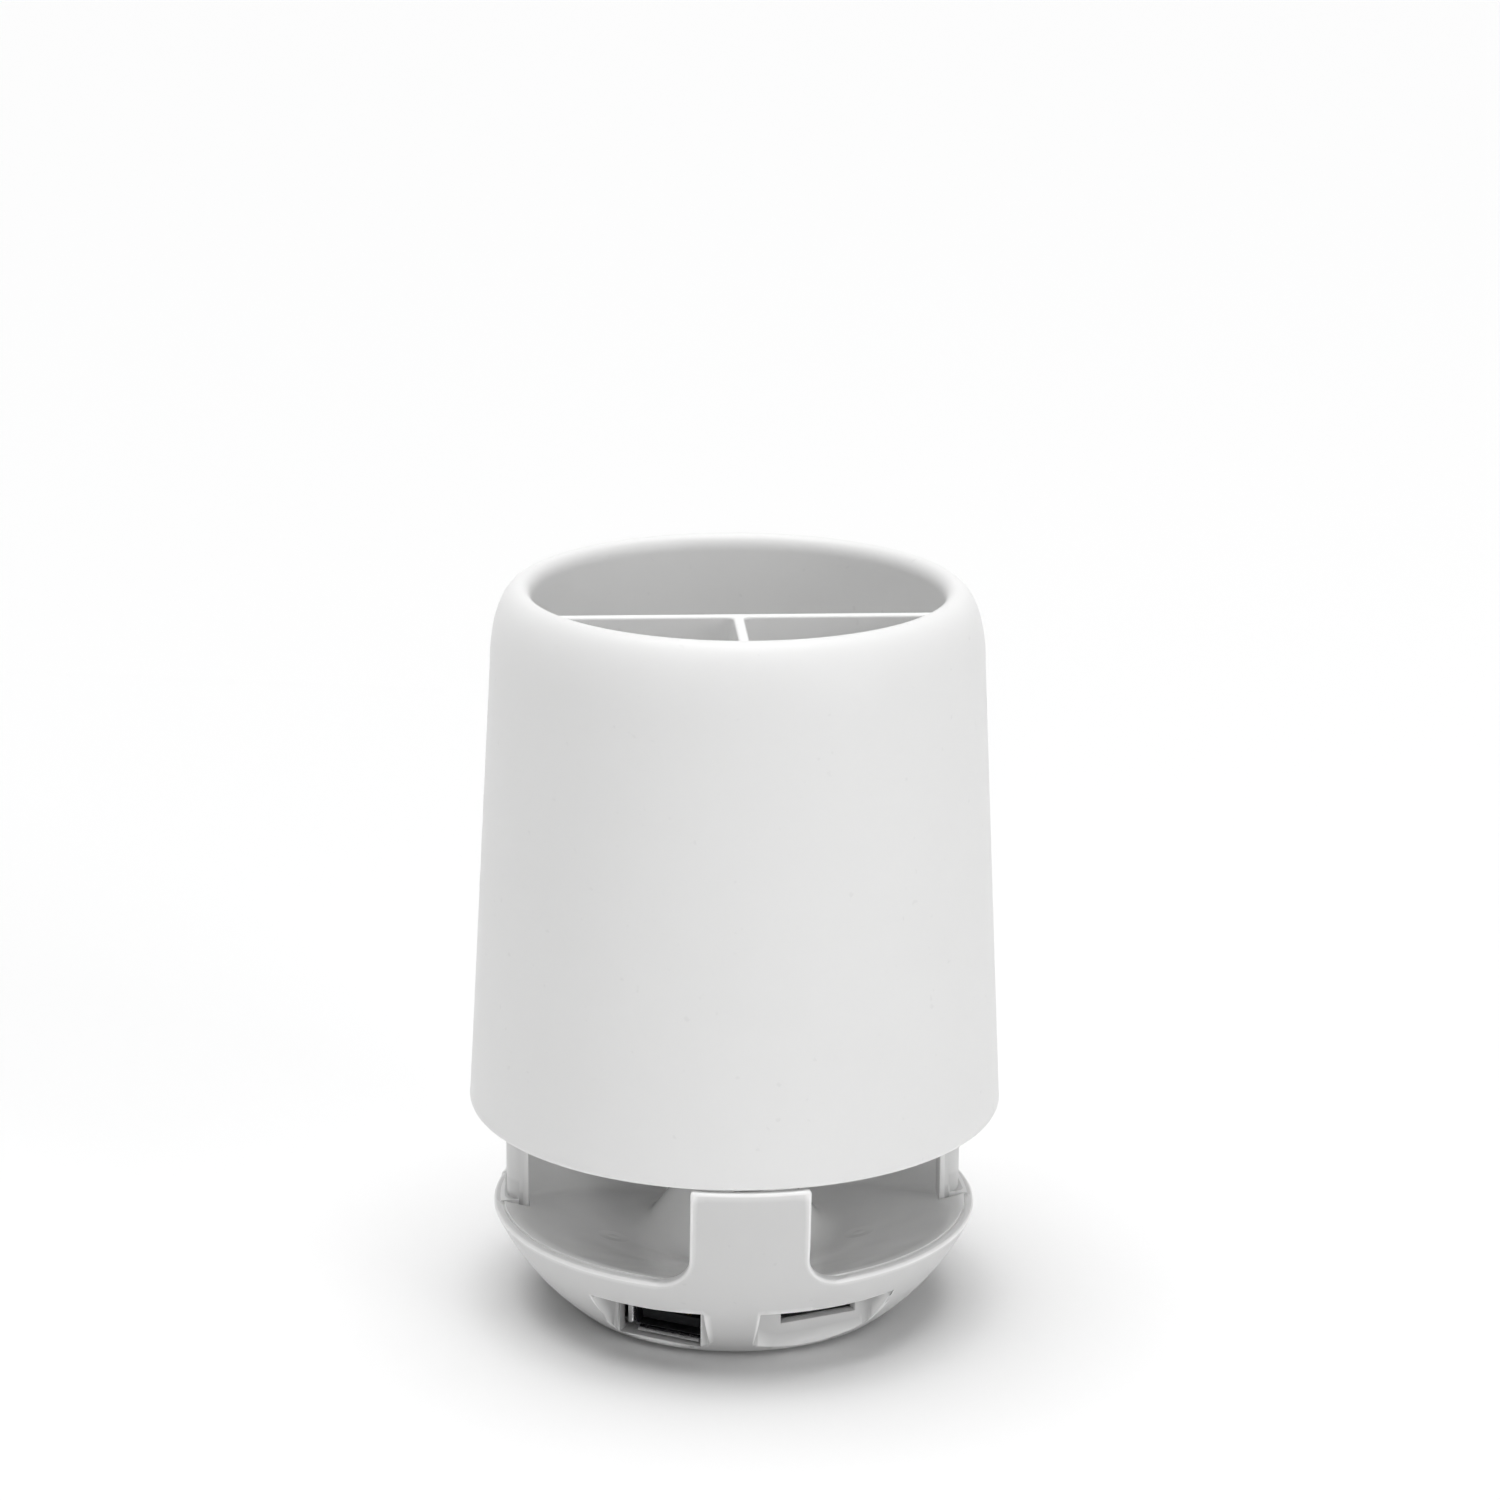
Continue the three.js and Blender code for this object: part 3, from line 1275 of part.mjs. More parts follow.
const speakerLead = lead([
  [speakerLeadStart, speakerLeadStart, flangeTopZ + farDrop],
  [speakerLeadX, speakerLeadY, flangeTopZ + shortDrop],
  [speakerLeadX, speakerLeadY, baffleZ],
  [halfwayX, speakerLeadY, baffleZ - shortDrop],
  [besideBattery, speakerLeadY, batteryTopZ],
  [besideBattery, speakerLeadY, batteryZ],
  [speakerLeadX * speakerLeadEndShare, speakerLeadY * speakerLeadEndShare, leadFoot],
]);
add("speaker_lead", speakerLead, materials.black);
const lampLeadEndX = lampLeadX * lampLeadEndShare;
const lampLeadEndY = controlBoardY + leadRadius + restGap;
const lampLead = lead([
  [lampLeadX, lampLeadY, lampBoardZ - leadRadius],
  [lampLeadX, lampLeadY, baffleZ],
  [lampLeadX + leadRadius, lampLeadY, baffleZ - nearDrop],
  [lampLeadEndX, lampLeadEndY, controlBoardTopZ - farDrop],
]);
add("lamp_lead", lampLead, materials.black);

export default holder;
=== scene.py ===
# %% [markdown]
# # A desk pen holder with a speaker and a lamp
# The real object is a white lampshade cup with a divided well, on a ball-shaped speaker base.
# Sound leaves the base through two horn windows, and the front of the bowl has two socket
# recesses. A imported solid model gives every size, so this lesson starts by loading it as a fixed
# frame, and models each visible piece again at the same place, with the roundings and finishes of
# the real one.

# %% Load the fixed frame
import math

import bpy
from mathutils import Matrix, Vector
from mathutils.kdtree import KDTree


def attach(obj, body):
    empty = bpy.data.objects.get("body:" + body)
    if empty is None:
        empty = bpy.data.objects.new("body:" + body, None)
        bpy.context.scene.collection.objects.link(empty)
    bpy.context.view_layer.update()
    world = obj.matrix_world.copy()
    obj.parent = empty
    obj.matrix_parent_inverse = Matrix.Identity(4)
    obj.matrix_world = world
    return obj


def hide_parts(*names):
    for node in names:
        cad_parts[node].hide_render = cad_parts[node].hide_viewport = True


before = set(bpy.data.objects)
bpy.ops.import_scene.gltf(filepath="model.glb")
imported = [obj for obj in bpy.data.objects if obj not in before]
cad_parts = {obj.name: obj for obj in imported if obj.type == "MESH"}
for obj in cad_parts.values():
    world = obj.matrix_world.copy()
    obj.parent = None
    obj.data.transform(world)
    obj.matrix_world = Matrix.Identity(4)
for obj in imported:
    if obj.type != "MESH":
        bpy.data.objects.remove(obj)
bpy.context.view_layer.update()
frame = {"nodes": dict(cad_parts)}

# %% [markdown]
# ## The camera
# The photograph looks down at the cup by about sixteen degrees, from 0.75 metres away, with a
# long lens. A camera could be aimed with a constraint, but a plain matrix also holds the small
# roll.

# %% Make the camera
CAMERA_PLACE = Vector((-0.04507, -0.71057, 0.3070))
CAMERA_HEADING = Vector((0.0663, 0.9978, 0))
CAMERA_PITCH = 0.2866
CAMERA_ROLL = 0.0083
LENS = 106.94

forward = CAMERA_HEADING.normalized() * math.cos(CAMERA_PITCH)
forward.z = -math.sin(CAMERA_PITCH)
level_right = forward.cross(Vector((0, 0, 1))).normalized()
level_up = level_right.cross(forward)
right = level_right * math.cos(CAMERA_ROLL) + level_up * math.sin(CAMERA_ROLL)
up = level_up * math.cos(CAMERA_ROLL) - level_right * math.sin(CAMERA_ROLL)
bpy.ops.object.camera_add()
camera = bpy.context.object
rows = [(right[i], up[i], -forward[i], CAMERA_PLACE[i]) for i in range(3)]
camera.matrix_world = Matrix([*rows, (0, 0, 0, 1)])
camera.data.lens = LENS
camera.data.sensor_width = 36
camera.data.clip_start = 0.01
bpy.context.scene.camera = camera
print("camera at", [round(v, 3) for v in camera.location])

# %% [markdown]
# ## Small tools
# The same few steps return for every piece: clear the selection, open edit mode, turn a profile,
# and bring the finished piece to its place. Each one is a short helper around the operators that
# a person would click. Modelling is in millimetres, because the mesh tools work best on numbers
# near one, and each finished piece is then scaled to metres.

# %% Helpers for selection and edit mode
def deselect():
    """Leaves nothing selected, because an operator acts on all that is selected."""
    bpy.ops.object.select_all(action="DESELECT")


def pick(piece):
    """Makes one piece the only selected and the active one."""
    deselect()
    piece.select_set(True)
    bpy.context.view_layer.objects.active = piece


def open_edit(piece, mode="VERT", action="SELECT"):
    """Opens a piece in edit mode, with all of it selected or nothing."""
    pick(piece)
    bpy.ops.object.mode_set(mode="EDIT")
    bpy.ops.mesh.select_mode(type=mode)
    bpy.ops.mesh.select_all(action=action)


def close_edit():
    bpy.ops.object.mode_set(mode="OBJECT")


def tidy(piece, threshold=0.002):
    """Merges doubled points and turns all faces outwards."""
    open_edit(piece)
    bpy.ops.mesh.remove_doubles(threshold=threshold)
    bpy.ops.mesh.normals_make_consistent(inside=False)
    close_edit()


def named(name):
    """Names the primitive that was just added."""
    piece = bpy.context.object
    piece.name = name
    return piece


# %% Helpers that turn a profile and finish a piece
def arc(centre, size, start, end, steps):
    """Points on an ellipse, with angles in degrees."""
    angles = [math.radians(start + (end - start) * i / steps) for i in range(steps + 1)]
    return [(centre[0] + size[0] * math.cos(a), centre[1] + size[1] * math.sin(a)) for a in angles]


def turned(name, profile, steps=144):
    """Draws a profile point by point with extrude, and spins it round the upright axis."""
    deselect()
    bpy.ops.mesh.primitive_plane_add(size=1)
    piece = named(name)
    bpy.ops.object.mode_set(mode="EDIT")
    bpy.ops.mesh.merge(type="CENTER")
    bpy.ops.transform.translate(value=(profile[0][0], 0, profile[0][1]))
    for (r0, z0), (r1, z1) in zip(profile, profile[1:]):
        bpy.ops.mesh.extrude_region_move(TRANSFORM_OT_translate={"value": (r1 - r0, 0, z1 - z0)})
    bpy.ops.mesh.select_all(action="SELECT")
    bpy.ops.mesh.spin(steps=steps, angle=2 * math.pi, center=(0, 0, 0), axis=(0, 0, 1))
    close_edit()
    tidy(piece)
    return piece


MM = 0.001


def apply_place():
    bpy.ops.object.transform_apply(location=True, rotation=True, scale=True)


def finish_piece(piece, *nodes, body="holder", slot=None, smooth=30):
    """Scales a finished piece from millimetres to metres, smooths it, and gives it its place."""
    pick(piece)
    piece.scale = (MM, MM, MM)
    apply_place()
    bpy.ops.object.shade_smooth_by_angle(angle=math.radians(smooth))
    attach(piece, body)
    if nodes:
        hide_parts(*nodes)
    triangles = sum(len(face.vertices) - 2 for face in piece.data.polygons)
    size = [round(v / MM, 1) for v in piece.dimensions]
    print(f"{piece.name}: {triangles} triangles, {size} mm")


# %% [markdown]
# ## The lampshade cup
# The cup is one turned shell of satin polycarbonate. It has a straight draft, a soft shoulder and
# a rim that rolls over into the well. A cylinder could be scaled ring by ring, but a profile that
# is drawn once and spun holds every radius exactly.

# %% Turn the lampshade
CUP_EDGE, TAPER_TOP, CREST = 36.3, 112.9, 125.6
SHADE_FOOT_R, SHADE_TOP_R, CREST_R = 45.0, 41.0, 36.1
ROLL_END = 122.8
WELL_R = 34.05
COLLAR_END = 105.6

flank = [
    (SHADE_FOOT_R - (SHADE_FOOT_R - SHADE_TOP_R) * share, CUP_EDGE + (TAPER_TOP - CUP_EDGE) * share)
    for share in (0.03, 0.06, 0.15, 0.3, 0.45, 0.6, 0.75, 0.9)
]
shade_profile = [
    (43.0, CUP_EDGE),
    *arc((SHADE_FOOT_R - 0.8, CUP_EDGE + 0.8), (0.8, 0.8), -90, 0, 6),
    *flank,
    *arc((CREST_R, TAPER_TOP), (SHADE_TOP_R - CREST_R, CREST - TAPER_TOP), 0, 90, 26),
    *arc((CREST_R, ROLL_END), (CREST_R - WELL_R, CREST - ROLL_END), 90, 180, 14)[1:],
    (33.8, COLLAR_END),
    (35.8, COLLAR_END),
    *reversed(arc((37.5, 121.0), (1.5, 1.5), 0, 180, 6)),
    (39.0, 112.9),
    (42.86, 41.0),
    (41.3, 40.3),
    (41.3, 39.2),
    (42.9, 39.1),
    (43.0, CUP_EDGE),
]
lampshade = turned("lampshade_cup", shade_profile, steps=180)
finish_piece(lampshade, "cup_shade", slot="shade")

# %% [markdown]
# ## The pen well
# Inside the shade stands a second moulding: the well's wall and floor, with a round inner corner.
# It meets the shade's collar twenty millimetres below the crest.

# %% Turn the pen well
WELL_FLOOR_R, WELL_FLOOR = 33.15, 62.3
WELL_CORNER = 2.5
CORNER_CENTRE = (WELL_FLOOR_R - WELL_CORNER, WELL_FLOOR + WELL_CORNER)

well_profile = [
    (0, 60.3),
    (33.05, 60.3),
    (33.05, 39.1),
    (34.65, 39.1),
    (35.38, COLLAR_END - 0.1),
    (33.8, COLLAR_END - 0.1),
    *arc(CORNER_CENTRE, (WELL_CORNER, WELL_CORNER), 0, -90, 8),
    (0, WELL_FLOOR),
]
pen_well = turned("pen_well", well_profile)
finish_piece(pen_well, "pen_cup", slot="shade")

# %% [markdown]
# ## The divider
# A cross wall and a front wall part the well into three. Their top edges are rounded, and small
# fillets join them to each other and to the well. Two crossed boxes would leave sharp inner
# corners, so the plan is drawn with these fillets and extruded.

# %% Helpers that extrude a plan and bevel chosen edges
def prism(name, outline, low, high):
    """Moves the corners of a filled circle to a plan outline, and extrudes it upwards."""
    deselect()
    bpy.ops.mesh.primitive_circle_add(vertices=len(outline), fill_type="NGON")
    piece = named(name)
    for vertex, (x, y) in zip(piece.data.vertices, outline):
        vertex.co = (x, y, low)
    bpy.ops.object.mode_set(mode="EDIT")
    bpy.ops.mesh.select_all(action="SELECT")
    bpy.ops.mesh.extrude_region_move(TRANSFORM_OT_translate={"value": (0, 0, high - low)})
    close_edit()
    tidy(piece)
    return piece


def bevel_where(piece, wanted, width, segments=3, angle=25):
    """Bevels the sharp edges whose middle passes a test."""
    open_edit(piece, "EDGE", "DESELECT")
    bpy.ops.mesh.edges_select_sharp(sharpness=math.radians(angle))
    close_edit()
    mesh = piece.data
    chosen = []
    for edge in mesh.edges:
        middle = (mesh.vertices[edge.vertices[0]].co + mesh.vertices[edge.vertices[1]].co) / 2
        if edge.select and wanted(middle):
            chosen.append(edge)
    for items in (mesh.polygons, mesh.edges, mesh.vertices):
        items.foreach_set("select", [False] * len(items))
    for edge in chosen:
        edge.select = True
        for index in edge.vertices:
            mesh.vertices[index].select = True
    bpy.ops.object.mode_set(mode="EDIT")
    bpy.ops.mesh.bevel(offset=width, segments=segments, loop_slide=False, clamp_overlap=False)
    close_edit()
    return len(chosen)


# %% Model the divider
HALF_WALL = 0.9
WALL_END_R = 34.2
CORNER_R = 1.4
FLARE_R = 1.2


def end_flare(turn):
    """The end of a wall on the round well, with a fillet on both sides, seen from above."""
    angle = math.radians(turn)
    out = Vector((math.cos(angle), math.sin(angle)))
    side = Vector((-out.y, out.x))
    start = math.sqrt(WALL_END_R**2 - (HALF_WALL + FLARE_R) ** 2)
    fillet = arc((start - FLARE_R, HALF_WALL + FLARE_R), (FLARE_R, FLARE_R), -90, 0, 5)
    points = [(x, -y) for x, y in fillet]
    turns = [step / 40 for step in (-2, -1, 0, 1, 2)]
    tip = [(WALL_END_R * math.cos(a), WALL_END_R * math.sin(a)) for a in turns]
    points = points + tip + [(x, -y) for x, y in reversed(points)]
    return [tuple(out * x + side * y) for x, y in points]


corner = HALF_WALL + CORNER_R
left_corner = arc((-corner, -corner), (CORNER_R, CORNER_R), 90, 0, 5)
right_corner = arc((corner, -corner), (CORNER_R, CORNER_R), 180, 90, 5)
divider_plan = end_flare(0) + end_flare(180) + left_corner + end_flare(270) + right_corner
divider = prism("t_divider", divider_plan, 62.35, 120.4)
bevel_where(divider, lambda m: m.z > 120.3, 0.5, segments=4, angle=60)
tidy(divider)
finish_piece(divider, "pen_divider", slot="shade")

# %% [markdown]
# ## The base housing
# The bowl, the web between the windows and the rear housing are one injection moulding with an
# even wall. So its outer face is laid out first as one sheet of quads on the ball, with mesh
# lines that follow the window outlines, and the wall thickness comes from solidify. Cutting
# windows out of a sphere with booleans would be quicker, but it leaves slivers that no bevel can
# follow.

# %% Measure the ball and the windows
BALL_R, BALL_Z, BALL_WALL = 45.4, 36.6, 1.8
BASE_TOP, RIM_Z, FLAT_Z = 36.0, 17.7, 0.8
WEB_HALF = 9.9
WINDOW_CORNER = 5.33
CHEEK_X = 38.8
QUARTER = math.pi / 2


def ball_r(z):
    return math.sqrt(BALL_R**2 - (z - BALL_Z) ** 2)


def on_ball(angle, z):
    """A point of the ball, at an angle counted from the front towards the right."""
    return (ball_r(z) * math.sin(angle), -ball_r(z) * math.cos(angle), z)


def spread(start, end, steps):
    return [start + (end - start) * i / steps for i in range(steps + 1)]


def window_outline(t):
    """Half width and height on a window's round lower corner, for t from 0 to a quarter turn."""
    half = WEB_HALF + WINDOW_CORNER - WINDOW_CORNER * math.sin(t)
    return half, RIM_Z + WINDOW_CORNER - WINDOW_CORNER * math.cos(t)


corner_points = [window_outline(t) for t in spread(0, QUARTER / 2, 5)]
corner_angles = [(math.asin(half / ball_r(z)), z) for half, z in corner_points]
meet_angle, meet_z = corner_angles[-1]
cheek_angle = math.pi - math.asin(CHEEK_X / ball_r(RIM_Z))
print("window corner from", corner_points[0], "to", corner_points[-1])

# %% Choose the bowl's mesh lines
FRONT_STEPS, SIDE_STEPS, REAR_STEPS = 14, 37, 58
FULL = 2 * math.pi

front_angles = spread(-meet_angle, meet_angle, FRONT_STEPS)
side_angles = spread(corner_angles[0][0], cheek_angle, SIDE_STEPS)
rear_angles = spread(cheek_angle, FULL - cheek_angle, REAR_STEPS)
columns = [(angle, meet_z) for angle in front_angles[FRONT_STEPS // 2 : -1]]
columns += list(reversed(corner_angles))[:-1]
columns += [(angle, RIM_Z) for angle in side_angles[:-1] + rear_angles]
columns += [(FULL - angle, RIM_Z) for angle in reversed(side_angles[:-1])]
columns += [(FULL - angle, z) for angle, z in corner_angles[1:]]
columns += [(FULL + angle, meet_z) for angle in front_angles[1 : FRONT_STEPS // 2 + 1]]
print("bowl columns:", len(columns))

# %% Lay out the bowl on the ball
FOOT_ROUND = 1.2
REBATE_R = 25.55

foot_z = FLAT_Z + FOOT_ROUND
foot_centre = (math.sqrt((BALL_R - FOOT_ROUND) ** 2 - (BALL_Z - FLAT_Z - FOOT_ROUND) ** 2), foot_z)
foot_turn = math.degrees(math.atan2(foot_centre[1] - BALL_Z, foot_centre[0]))
foot_arc = arc(foot_centre, (FOOT_ROUND, FOOT_ROUND), -90, foot_turn, 4)


def around_axis(profile, angle):
    """Points of a profile, turned to an angle from the front."""
    return [(r * math.sin(angle), -r * math.cos(angle), z) for r, z in profile]


def ball_column(angle, top):
    """Points of one mesh line, from the edge of the cover's rebate up the ball to its top."""
    low = math.radians(foot_turn)
    high = math.asin((top - BALL_Z) / BALL_R)
    line = [(REBATE_R, FLAT_Z), (REBATE_R + 1, FLAT_Z), *foot_arc]
    turns = spread(low, high, 13)[1:]
    line += [(BALL_R * math.cos(a), BALL_Z + BALL_R * math.sin(a)) for a in turns]
    return around_axis(line, angle)


def laid(name, rows):
    """A grid primitive whose points are moved to rows of given places."""
    deselect()
    bpy.ops.mesh.primitive_grid_add(x_subdivisions=len(rows[0]) - 1, y_subdivisions=len(rows) - 1)
    piece = named(name)
    places = [place for row in rows for place in row]
    for vertex, place in zip(piece.data.vertices, places):
        vertex.co = place
    return piece


bowl = laid("bowl", list(zip(*[ball_column(angle, top) for angle, top in columns])))
print("bowl faces:", len(bowl.data.polygons))

# %% Lay out the web and the rear wall, and join the sheet
def join(pieces, name):
    pick(pieces[0])
    for piece in pieces[1:]:
        piece.select_set(True)
    bpy.ops.object.join()
    pieces[0].name = name
    return pieces[0]


def flip_if(piece, turned_in):
    """Flips all faces of an open sheet if the given face looks the wrong way."""
    if turned_in:
        open_edit(piece)
        bpy.ops.mesh.flip_normals()
        close_edit()


web_levels = [window_outline(t) for t in spread(QUARTER / 2, QUARTER, 5)]
web_levels += [(WEB_HALF, z) for z in spread(RIM_Z + WINDOW_CORNER, BASE_TOP, 7)[1:]]
web_rows = []
for half, z in web_levels:
    edge = math.asin(half / ball_r(z))
    web_rows.append([on_ball(angle, z) for angle in spread(-edge, edge, FRONT_STEPS)])
web = laid("web", web_rows)

rear_heights = spread(RIM_Z, BASE_TOP, 9)
rear_rows = []
for z in rear_heights:
    edge = math.pi - math.asin(CHEEK_X / ball_r(z))
    rear_rows.append([on_ball(angle, z) for angle in spread(edge, FULL - edge, REAR_STEPS)])
housing = join([bowl, web, laid("rear_wall", rear_rows)], "base_housing_shell")
tidy(housing, threshold=0.01)
lowest = min(housing.data.polygons, key=lambda face: face.center.z)
flip_if(housing, lowest.normal.z > 0)
print("sheet faces:", len(housing.data.polygons))

# %% [markdown]
# ## Wall thickness and the rounded edge of the windows
# Solidify gives the wall. The rim is tipped a little outwards on the real moulding, so its inner
# corner is lowered, and then the whole edge round the windows gets one small bevel.

# %% Give the sheet its wall
def apply_modifiers(piece):
    pick(piece)
    for modifier in list(piece.modifiers):
        bpy.ops.object.modifier_apply(modifier=modifier.name)


def thicken(piece, thickness, offset=-1, even=False):
    wall = piece.modifiers.new("wall", "SOLIDIFY")
    wall.thickness = thickness
    wall.offset = offset
    wall.use_even_offset = even
    apply_modifiers(piece)


RIM_INNER_Z = 18.2

thicken(housing, BALL_WALL, even=True)
centre = Vector((0, 0, BALL_Z))
lowered = 0
for vertex in housing.data.vertices:
    depth = (vertex.co - centre).length
    if abs(depth - BALL_R + BALL_WALL) < 0.02 and 18.40 < vertex.co.z < 18.50 and vertex.co.y < 15:
        vertex.co.z = RIM_INNER_Z
        lowered += 1
rounded = bevel_where(housing, lambda m: m.z > RIM_Z - 0.2 and m.y < 11.5, 0.6, 4, 50)
bevel_where(housing, lambda m: m.z < FLAT_Z + 0.1, 0.25, segments=2, angle=50)
print("inner rim points lowered:", lowered, "edges rounded:", rounded)

# %% [markdown]
# ## Cheeks and posts
# The rear housing is flattened at the sides, and ends in front in two rounded posts. Each cheek
# is a loft of plan outlines, one for each row of the rear wall, so that both share their points
# on the circle where the flat side meets the ball. They are joined into one solid with a boolean.

# %% Draw the right cheek's plan
POST_INNER_X, POST_FRONT_Y, POST_BACK_Y = 35.1, -2.2, 3.5
POST_ROUND = 3.4
POST_EDGE = 0.3
CHEEK_INNER_X = CHEEK_X - BALL_WALL


def cheek_outline(z):
    """Plan outline of the right cheek and post at one height."""
    circle = BALL_R**2 - CHEEK_X**2 - (z - BALL_Z) ** 2
    outer_y = math.sqrt(circle) if z >= RIM_Z else math.sqrt(circle) - 0.6
    inner_y = math.sqrt((BALL_R - BALL_WALL) ** 2 - CHEEK_INNER_X**2 - (z - BALL_Z) ** 2)
    mid_x = CHEEK_INNER_X + 0.2
    mid_y = math.sqrt((BALL_R - BALL_WALL / 2) ** 2 - mid_x**2 - (z - BALL_Z) ** 2)
    if z < RIM_Z:
        inner_y, mid_y = outer_y - 0.5, outer_y - 0.2
    round_centre = (CHEEK_X - POST_ROUND, POST_FRONT_Y + POST_ROUND)
    edge_centre = (POST_INNER_X + POST_EDGE, POST_FRONT_Y + POST_EDGE)
    points = [(CHEEK_X, y) for y in spread(outer_y, round_centre[1], 6)]
    points += arc(round_centre, (POST_ROUND, POST_ROUND), 0, -90, 8)[1:]
    points += arc(edge_centre, (POST_EDGE, POST_EDGE), -90, -180, 3)[1:]
    points += [(POST_INNER_X, POST_BACK_Y), (CHEEK_INNER_X, POST_BACK_Y)]
    points += [(CHEEK_INNER_X, inner_y), (mid_x, mid_y)]
    return [(x, y, z) for x, y in points]


print("cheek plan points:", len(cheek_outline(RIM_Z)))

# %% Helpers that loft, copy and cut
def lofted(name, outlines):
    """A closed solid through plan outlines with the same number of points."""
    piece = laid(name, [[*outline, outline[0]] for outline in outlines])
    tidy(piece, threshold=0.0001)
    open_edit(piece, "EDGE", "DESELECT")
    bpy.ops.mesh.select_non_manifold(extend=False)
    bpy.ops.mesh.edge_face_add()
    bpy.ops.mesh.select_all(action="SELECT")
    bpy.ops.mesh.normals_make_consistent(inside=False)
    close_edit()
    return piece


def copy_of(piece, name, move=(0, 0, 0)):
    """A copy with a mesh of its own, whose points are moved."""
    pick(piece)
    bpy.ops.object.duplicate()
    twin = named(name)
    for vertex in twin.data.vertices:
        vertex.co += Vector(move)
    return twin


def snap_to(piece, target, reach):
    """Moves points that lie almost on a point of another piece exactly onto it."""
    tree = KDTree(len(target.data.vertices))
    for vertex in target.data.vertices:
        tree.insert(vertex.co, vertex.index)
    tree.balance()
    moved = 0
    for vertex in piece.data.vertices:
        place, _, distance = tree.find(vertex.co)
        if distance < reach:
            vertex.co = place
            moved += 1
    return moved


def carve(piece, tool, operation="DIFFERENCE"):
    """Cuts a piece with a tool, or joins or crosses the two, and clears the tool away."""
    modifier = piece.modifiers.new("carve", "BOOLEAN")
    modifier.operation = operation
    modifier.object = tool
    modifier.solver = "MANIFOLD"
    apply_modifiers(piece)
    bpy.data.objects.remove(tool)


# %% Loft the right cheek, mirror it and join both
cheek = lofted("cheek", [cheek_outline(z) for z in (14.4, 16.0, *rear_heights)])
other_cheek = copy_of(cheek, "other_cheek")
for vertex in other_cheek.data.vertices:
    vertex.co.x = -vertex.co.x
tidy(other_cheek)
for tool in (cheek, other_cheek):
    print("points snapped:", snap_to(tool, housing, 0.01))
    carve(housing, tool, "UNION")

# %% [markdown]
# ## Seats, screw boss and ledge
# Inside the moulding stand the seats that carry the deck under each post, a boss behind the web
# for a screw, and the ledge that the bottom cover rests on. Each is a simple solid that is joined
# to the wall. The boss is trimmed in front, so that it stays behind the web's face.

# %% Add the seats, the boss and the ledge
def ring_part(radius, low, high, start, end, steps, name):
    """A piece of a ring, between two radii, two heights and two angles from the x axis."""
    outer = arc((0, 0), (radius[1], radius[1]), start, end, steps)
    inner = arc((0, 0), (radius[0], radius[0]), end, start, steps)
    return prism(name, outer + inner, low, high)


def peg(radius, low, high, x, y, vertices=32):
    """An upright cylinder primitive between two heights."""
    deselect()
    bpy.ops.mesh.primitive_cylinder_add(
        vertices=vertices, radius=radius, depth=high - low, location=(x, y, (low + high) / 2)
    )
    apply_place()
    return bpy.context.object


def block(name, low, high):
    """A cube primitive moved and sized to lie between two corners."""
    deselect()
    size = Vector(high) - Vector(low)
    middle = (Vector(high) + Vector(low)) / 2
    bpy.ops.mesh.primitive_cube_add(size=1, location=middle, scale=size)
    piece = named(name)
    apply_place()
    return piece


for start, end in ((-3.2, 18), (162, 183.2)):
    carve(housing, ring_part((36.9, 40.0), 15.1, RIM_INNER_Z, start, end, 12, "seat"), "UNION")
boss = peg(2.8, 18.7, 35.9, 0, -39.4, vertices=40)
carve(boss, block("boss_front", (-3, -43, 18), (3, -41.5, 37)))
carve(housing, boss, "UNION")
ledge_profile = [(22.4, 2.0), (26.3, 2.0), (26.3, 3.2), (22.4, 3.2), (22.4, 2.0)]
carve(housing, turned("cover_ledge", ledge_profile, 72), "UNION")
print("housing faces:", len(housing.data.polygons))

# %% [markdown]
# ## Socket recesses and the rear panel
# Both front recesses are vertical cuts with a flat wall behind, flared sides and a level brow. A
# thick backing is joined to the bowl's inside first, so that the cut leaves a wall behind it. The
# panel for the buttons at the back is made in the same way.

# %% Draw the recesses
WALL_OUT = 29.1
BROW_Z = 11.65
USB_TURN, CARD_TURN = -28.983, 20.81
RECESS_CORNER = 0.7
FLARE_DEPTH = 9


def turned_point(turn, across, out):
    """A plan point across and out from the axis, in a frame turned from the front to the right."""
    angle = math.radians(turn)
    x = across * math.cos(angle) + out * math.sin(angle)
    return (x, across * math.sin(angle) - out * math.cos(angle))


def bezier(start, corner, end, steps):
    """A curve that leaves one point towards a corner and comes to another."""
    points = []
    for s in spread(0, 1, steps):
        weights = ((1 - s) ** 2, 2 * s * (1 - s), s * s)
        mix = zip(start, corner, end)
        points.append(tuple(sum(w * v for w, v in zip(weights, values)) for values in mix))
    return points


def recess_outline(turn, across, flares, grow=0.0):
    """Plan of a recess: a flat wall with filleted corners, and sides that flare to the outside."""
    left, right = across
    inner = WALL_OUT - grow
    points = []
    for side, edge, flare in ((1, right + grow, flares[1]), (-1, left - grow, flares[0])):
        bend_end = (edge + side * flare * RECESS_CORNER / FLARE_DEPTH, inner + RECESS_CORNER)
        line = bezier((edge - side * RECESS_CORNER, inner), (edge, inner), bend_end, 5)
        line.append((edge + side * flare, WALL_OUT + FLARE_DEPTH))
        points += line if side > 0 else list(reversed(line))
    return [turned_point(turn, a, o) for a, o in points]


recesses = (
    (USB_TURN, (-7.8, 9.57), (1.0, 2.7)),
    (CARD_TURN, (-9.5, 11.5), (2.4, 1.8)),
)
print("recess widths:", [round(right - left, 2) for _, (left, right), _ in recesses])

# %% Back and cut the recesses and the panel
BACKING = 2.0
TRIM_R = 44.6


